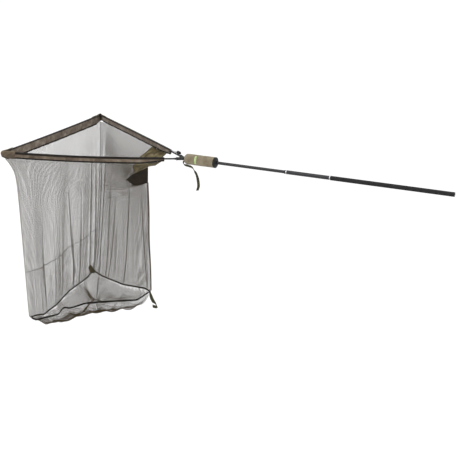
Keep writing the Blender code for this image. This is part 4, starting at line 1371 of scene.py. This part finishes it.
# %% Corner seams and the join across the front panel
for side in (NEAR, FAR):
    line = even(BORDERS[LABEL[side]][3], 90)
    # Painted light: the near corner seam is tan, a painted highlight on the side towards the key light, and
    # the far one is dark binding, so the two are lit and shaded copies of one seam.
    seam = tube_mesh(LABEL[side] + "_corner_seam", line, 0.0013, TAN_PAINTED_HIGHLIGHT if side == NEAR else BINDING, 8)
    head_piece(seam, "dark_cloth")
    ON_NET[LABEL[side]].append(seam)
front_join = panel_row("front", BORDERS["front"], FRONT_SEAM_ROW, ROWS_DEEP["front"])
join = tube_mesh("front_panel_join", even(front_join, 300), 0.0015, BINDING, 6)
head_piece(join, "dark_cloth")
ON_NET["upper"] = [join]
print("two corner seams and the front join are on the net")

# %% Tabs and tie strap
RIBBON = unit(np.array([0.88, 0.47, 0.0]))
RIBBON_FACE = np.array([RIBBON[1], -RIBBON[0], 0.0])
tab_path = [(-0.004, 0.000, 0.006), (-0.002, 0.001, -0.012), (0.005, 0.004, -0.042), (0.016, 0.008, -0.066),
            (0.028, 0.010, -0.084), (0.037, 0.010, -0.096), (0.038, 0.008, -0.102), (0.031, 0.006, -0.105),
            (0.020, 0.005, -0.103), (0.010, 0.004, -0.099)]
tab_turns = [(0.45, 0.89, 0.10), (0.60, 0.75, 0.15), (0.85, 0.40, 0.34), (0.90, 0.00, 0.44),
             (0.85, 0.00, 0.52), (0.85, 0.00, 0.20), (0.80, 0.00, -0.60),
             (0.30, 0.00, -0.95), (0.0, 0.0, -1.0), (0.0, 0.0, -1.0)]
start = at(*BASE_REAR)
path = curve_through([start + RIBBON * r + RIBBON_FACE * n + UP * z for r, n, z in tab_path], 90)
knots = np.linspace(0, 1, len(tab_turns))
turns = []
for t in np.linspace(0, 1, 90):
    r, n, z = (np.interp(t, knots, column) for column in zip(*tab_turns))
    turns.append(unit(RIBBON * r + RIBBON_FACE * n + UP * z))
made, rows = tape("rear_tab_webbing", path, turns, 0.020, 0.0016, WEBBING, "webbing", "rear_corner_tab")
declare_sheet([rows])
for column in (0, -1):
    STITCH_PATHS.append([mix(row[column], row[2], 0.25) + RIBBON_FACE * 0.0010 for row in rows[2:60]])

corner = at(*BASE_FAR)
tab_path = [(0.012, -0.008, -0.004), (-0.004, 0.000, 0.006), (-0.024, 0.008, 0.016), (-0.046, 0.020, 0.026),
            (-0.052, 0.024, 0.019), (-0.038, 0.018, 0.004), (-0.022, 0.010, -0.010)]
path = curve_through([corner + np.array(p) for p in tab_path], 40)
made, rows = tape("far_tab_webbing", path, [unit(np.array([0.55, 0.40, 0.72]))] * 40, 0.024, 0.0016, WEBBING,
                  "webbing", "far_corner_tab")
declare_sheet([rows])

strap_path = [(-0.0045, -0.004, -0.0125), (-0.003, -0.016, -0.0235), (0.008, -0.024, -0.0300),
              (0.030, -0.0225, -0.0335), (0.052, -0.022, -0.0375), (0.066, -0.022, -0.0470),
              (0.078, -0.022, -0.0640), (0.090, -0.022, -0.0900), (0.096, -0.021, -0.1200),
              (0.097, -0.020, -0.1500), (0.088, -0.018, -0.1780)]
strap_turns = [(0, 0.70, -0.71)] * 2 + [(0, 0.35, -0.94)] * 3 + [(0.45, 0.85, -0.2)] * 2
strap_turns += [(0.80, 0.60, 0.0)] * 2 + [(0.9, 0.43, 0.1)] * 2
path = curve_through([at(*p) for p in strap_path], 120)
knots = np.linspace(0, 1, len(strap_turns))
turns = [unit(np.array([np.interp(t, knots, [s[k] for s in strap_turns]) for k in range(3)]))
         for t in np.linspace(0, 1, 120)]
made, rows = tape("tie_strap_webbing", path, turns, 0.016, 0.0014, WEBBING, "webbing", "tie_strap")
declare_sheet([rows])
for column in (0, -1):
    STITCH_PATHS.append([row[column] + (row[2] - row[column]) * 0.3 + UP * -0.0010 for row in rows[60:116]])

# %% [markdown]
# ## Stitches
# Every bound edge shows a row of stitches. They are one small rod, repeated along the paths
# that the cells above have gathered. Geometry Nodes place the rods at an even pitch and turn
# each along its seam, so the pitch and the size stay single numbers.

# %% The stitch tree
STITCH_PITCH = 0.0046
STITCH_LONG = 0.0032
STITCH_R = 0.00032


def stitch_tree():
    tree, start, end = new_tree("stitch_rows", [("Pitch", "NodeSocketFloat", STITCH_PITCH),
                                                ("Stitch length", "NodeSocketFloat", STITCH_LONG),
                                                ("Stitch radius", "NodeSocketFloat", STITCH_R),
                                                ("Thread", "NodeSocketMaterial", None)])
    curves = tree.nodes.new("GeometryNodeMeshToCurve")
    spread = tree.nodes.new("GeometryNodeCurveToPoints")
    spread.mode = "LENGTH"
    rod = tree.nodes.new("GeometryNodeMeshCylinder")
    rod.inputs["Vertices"].default_value = 5
    place = tree.nodes.new("GeometryNodeInstanceOnPoints")
    real = tree.nodes.new("GeometryNodeRealizeInstances")
    paint = tree.nodes.new("GeometryNodeSetMaterial")
    join = tree.links.new
    join(start.outputs["Geometry"], curves.inputs["Mesh"])
    join(curves.outputs["Curve"], spread.inputs["Curve"])
    join(start.outputs["Pitch"], spread.inputs["Length"])
    join(start.outputs["Stitch length"], rod.inputs["Depth"])
    join(start.outputs["Stitch radius"], rod.inputs["Radius"])
    join(spread.outputs["Points"], place.inputs["Points"])
    join(spread.outputs["Rotation"], place.inputs["Rotation"])
    join(rod.outputs["Mesh"], place.inputs["Instance"])
    join(place.outputs["Instances"], real.inputs["Geometry"])
    join(real.outputs["Geometry"], paint.inputs["Geometry"])
    join(start.outputs["Thread"], paint.inputs["Material"])
    join(paint.outputs["Geometry"], end.inputs["Geometry"])
    return tree


points, links = [], []
for path in STITCH_PATHS:
    first = len(points)
    points += [tuple(p) for p in path]
    links += [(i, i + 1) for i in range(first, len(points) - 1)]
mesh = bpy.data.meshes.new("seam_stitches")
mesh.from_pydata(points, links, [])
STITCH_THREAD = fabric("stitch_thread", [(0.3, (0.10, 0.08, 0.06)), (0.7, (0.17, 0.14, 0.11))], 0.0006, 60.0)
stitches = link("seam_stitches", mesh, STITCH_THREAD)
run_tree(stitches, stitch_tree(), pitch=STITCH_PITCH, stitch_length=STITCH_LONG, stitch_radius=STITCH_R,
         thread=STITCH_THREAD)
head_piece(stitches, "dark_cloth")
print("stitches:", len(stitches.data.polygons) // 7)

# %% The net's panels ride on the net's head
for made, node_names, size, area, rests, on_it in PANEL_CUTS:
    head_piece(made, "net", *node_names)
    print(made.name, "declared, area", round(float(area), 3))

# %% [markdown]
# ## Floor, backdrop and light
# The net hangs over a pale floor that runs up into a backdrop, under large soft lights, so
# that the fine threads read as grey against near-white.

# %% Floor and backdrop
FLOOR_Z = -2.3
BACKDROP_GLOW = 0.78


def backdrop_material():
    made, tree, shader = new_material("pale_backdrop", 0.9, specular=0.1)
    tint = ramp(tree, noise(tree, 0.4, 2.0), [(0.3, (0.24, 0.24, 0.24)), (0.7, (0.27, 0.27, 0.27))])
    tree.links.new(tint, shader.inputs["Base Color"])
    shader.inputs["Emission Color"].default_value = (1.0, 1.0, 1.0, 1.0)
    shader.inputs["Emission Strength"].default_value = BACKDROP_GLOW
    return made


sweep = []
for t in np.linspace(0, 1, 40):
    if t < 0.5:
        sweep.append((-14 + 40 * t, 0.0))
    else:
        a = (t - 0.5) * math.pi
        sweep.append((6 + 6 * math.sin(a), 8 - 8 * math.cos(a)))
rows = [[(x, y, FLOOR_Z + z) for x in (-24.0, 0.0, 24.0)] for y, z in sweep]
turned_rows = []
c, s = math.cos(CAMERA_AZIMUTH), math.sin(CAMERA_AZIMUTH)
for row in rows:
    turned_rows.append([(SPREADER_X + x * c - y * s, x * s + y * c, z) for x, y, z in row])
floor = link("floor_and_backdrop", grid_mesh("floor_and_backdrop", [turned_rows]), backdrop_material())


def soft_light(name, place, aim, size, power):
    lamp = bpy.data.lights.new(name, "AREA")
    lamp.shape = "DISK"
    lamp.size = size
    lamp.energy = power
    made = bpy.data.objects.new(name, lamp)
    made.location = place
    made.rotation_euler = (Vector(aim) - Vector(place)).to_track_quat("-Z", "Y").to_euler()
    bpy.context.scene.collection.objects.link(made)


soft_light("key", (-3.2, -3.6, 3.6), (-1.6, 0, -0.3), 2.6, 60)
soft_light("fill", (2.2, -3.4, 2.0), (-1.4, 0, -0.3), 3.0, 15)
soft_light("top", (-1.2, 0.6, 4.2), (-1.4, 0, 0), 3.0, 40)
world = bpy.data.worlds.new("soft_white")
world.use_nodes = True
world.node_tree.nodes["Background"].inputs["Color"].default_value = (1.0, 1.0, 1.0, 1.0)
world.node_tree.nodes["Background"].inputs["Strength"].default_value = 1.0
bpy.context.scene.world = world
print("floor at z =", FLOOR_Z)
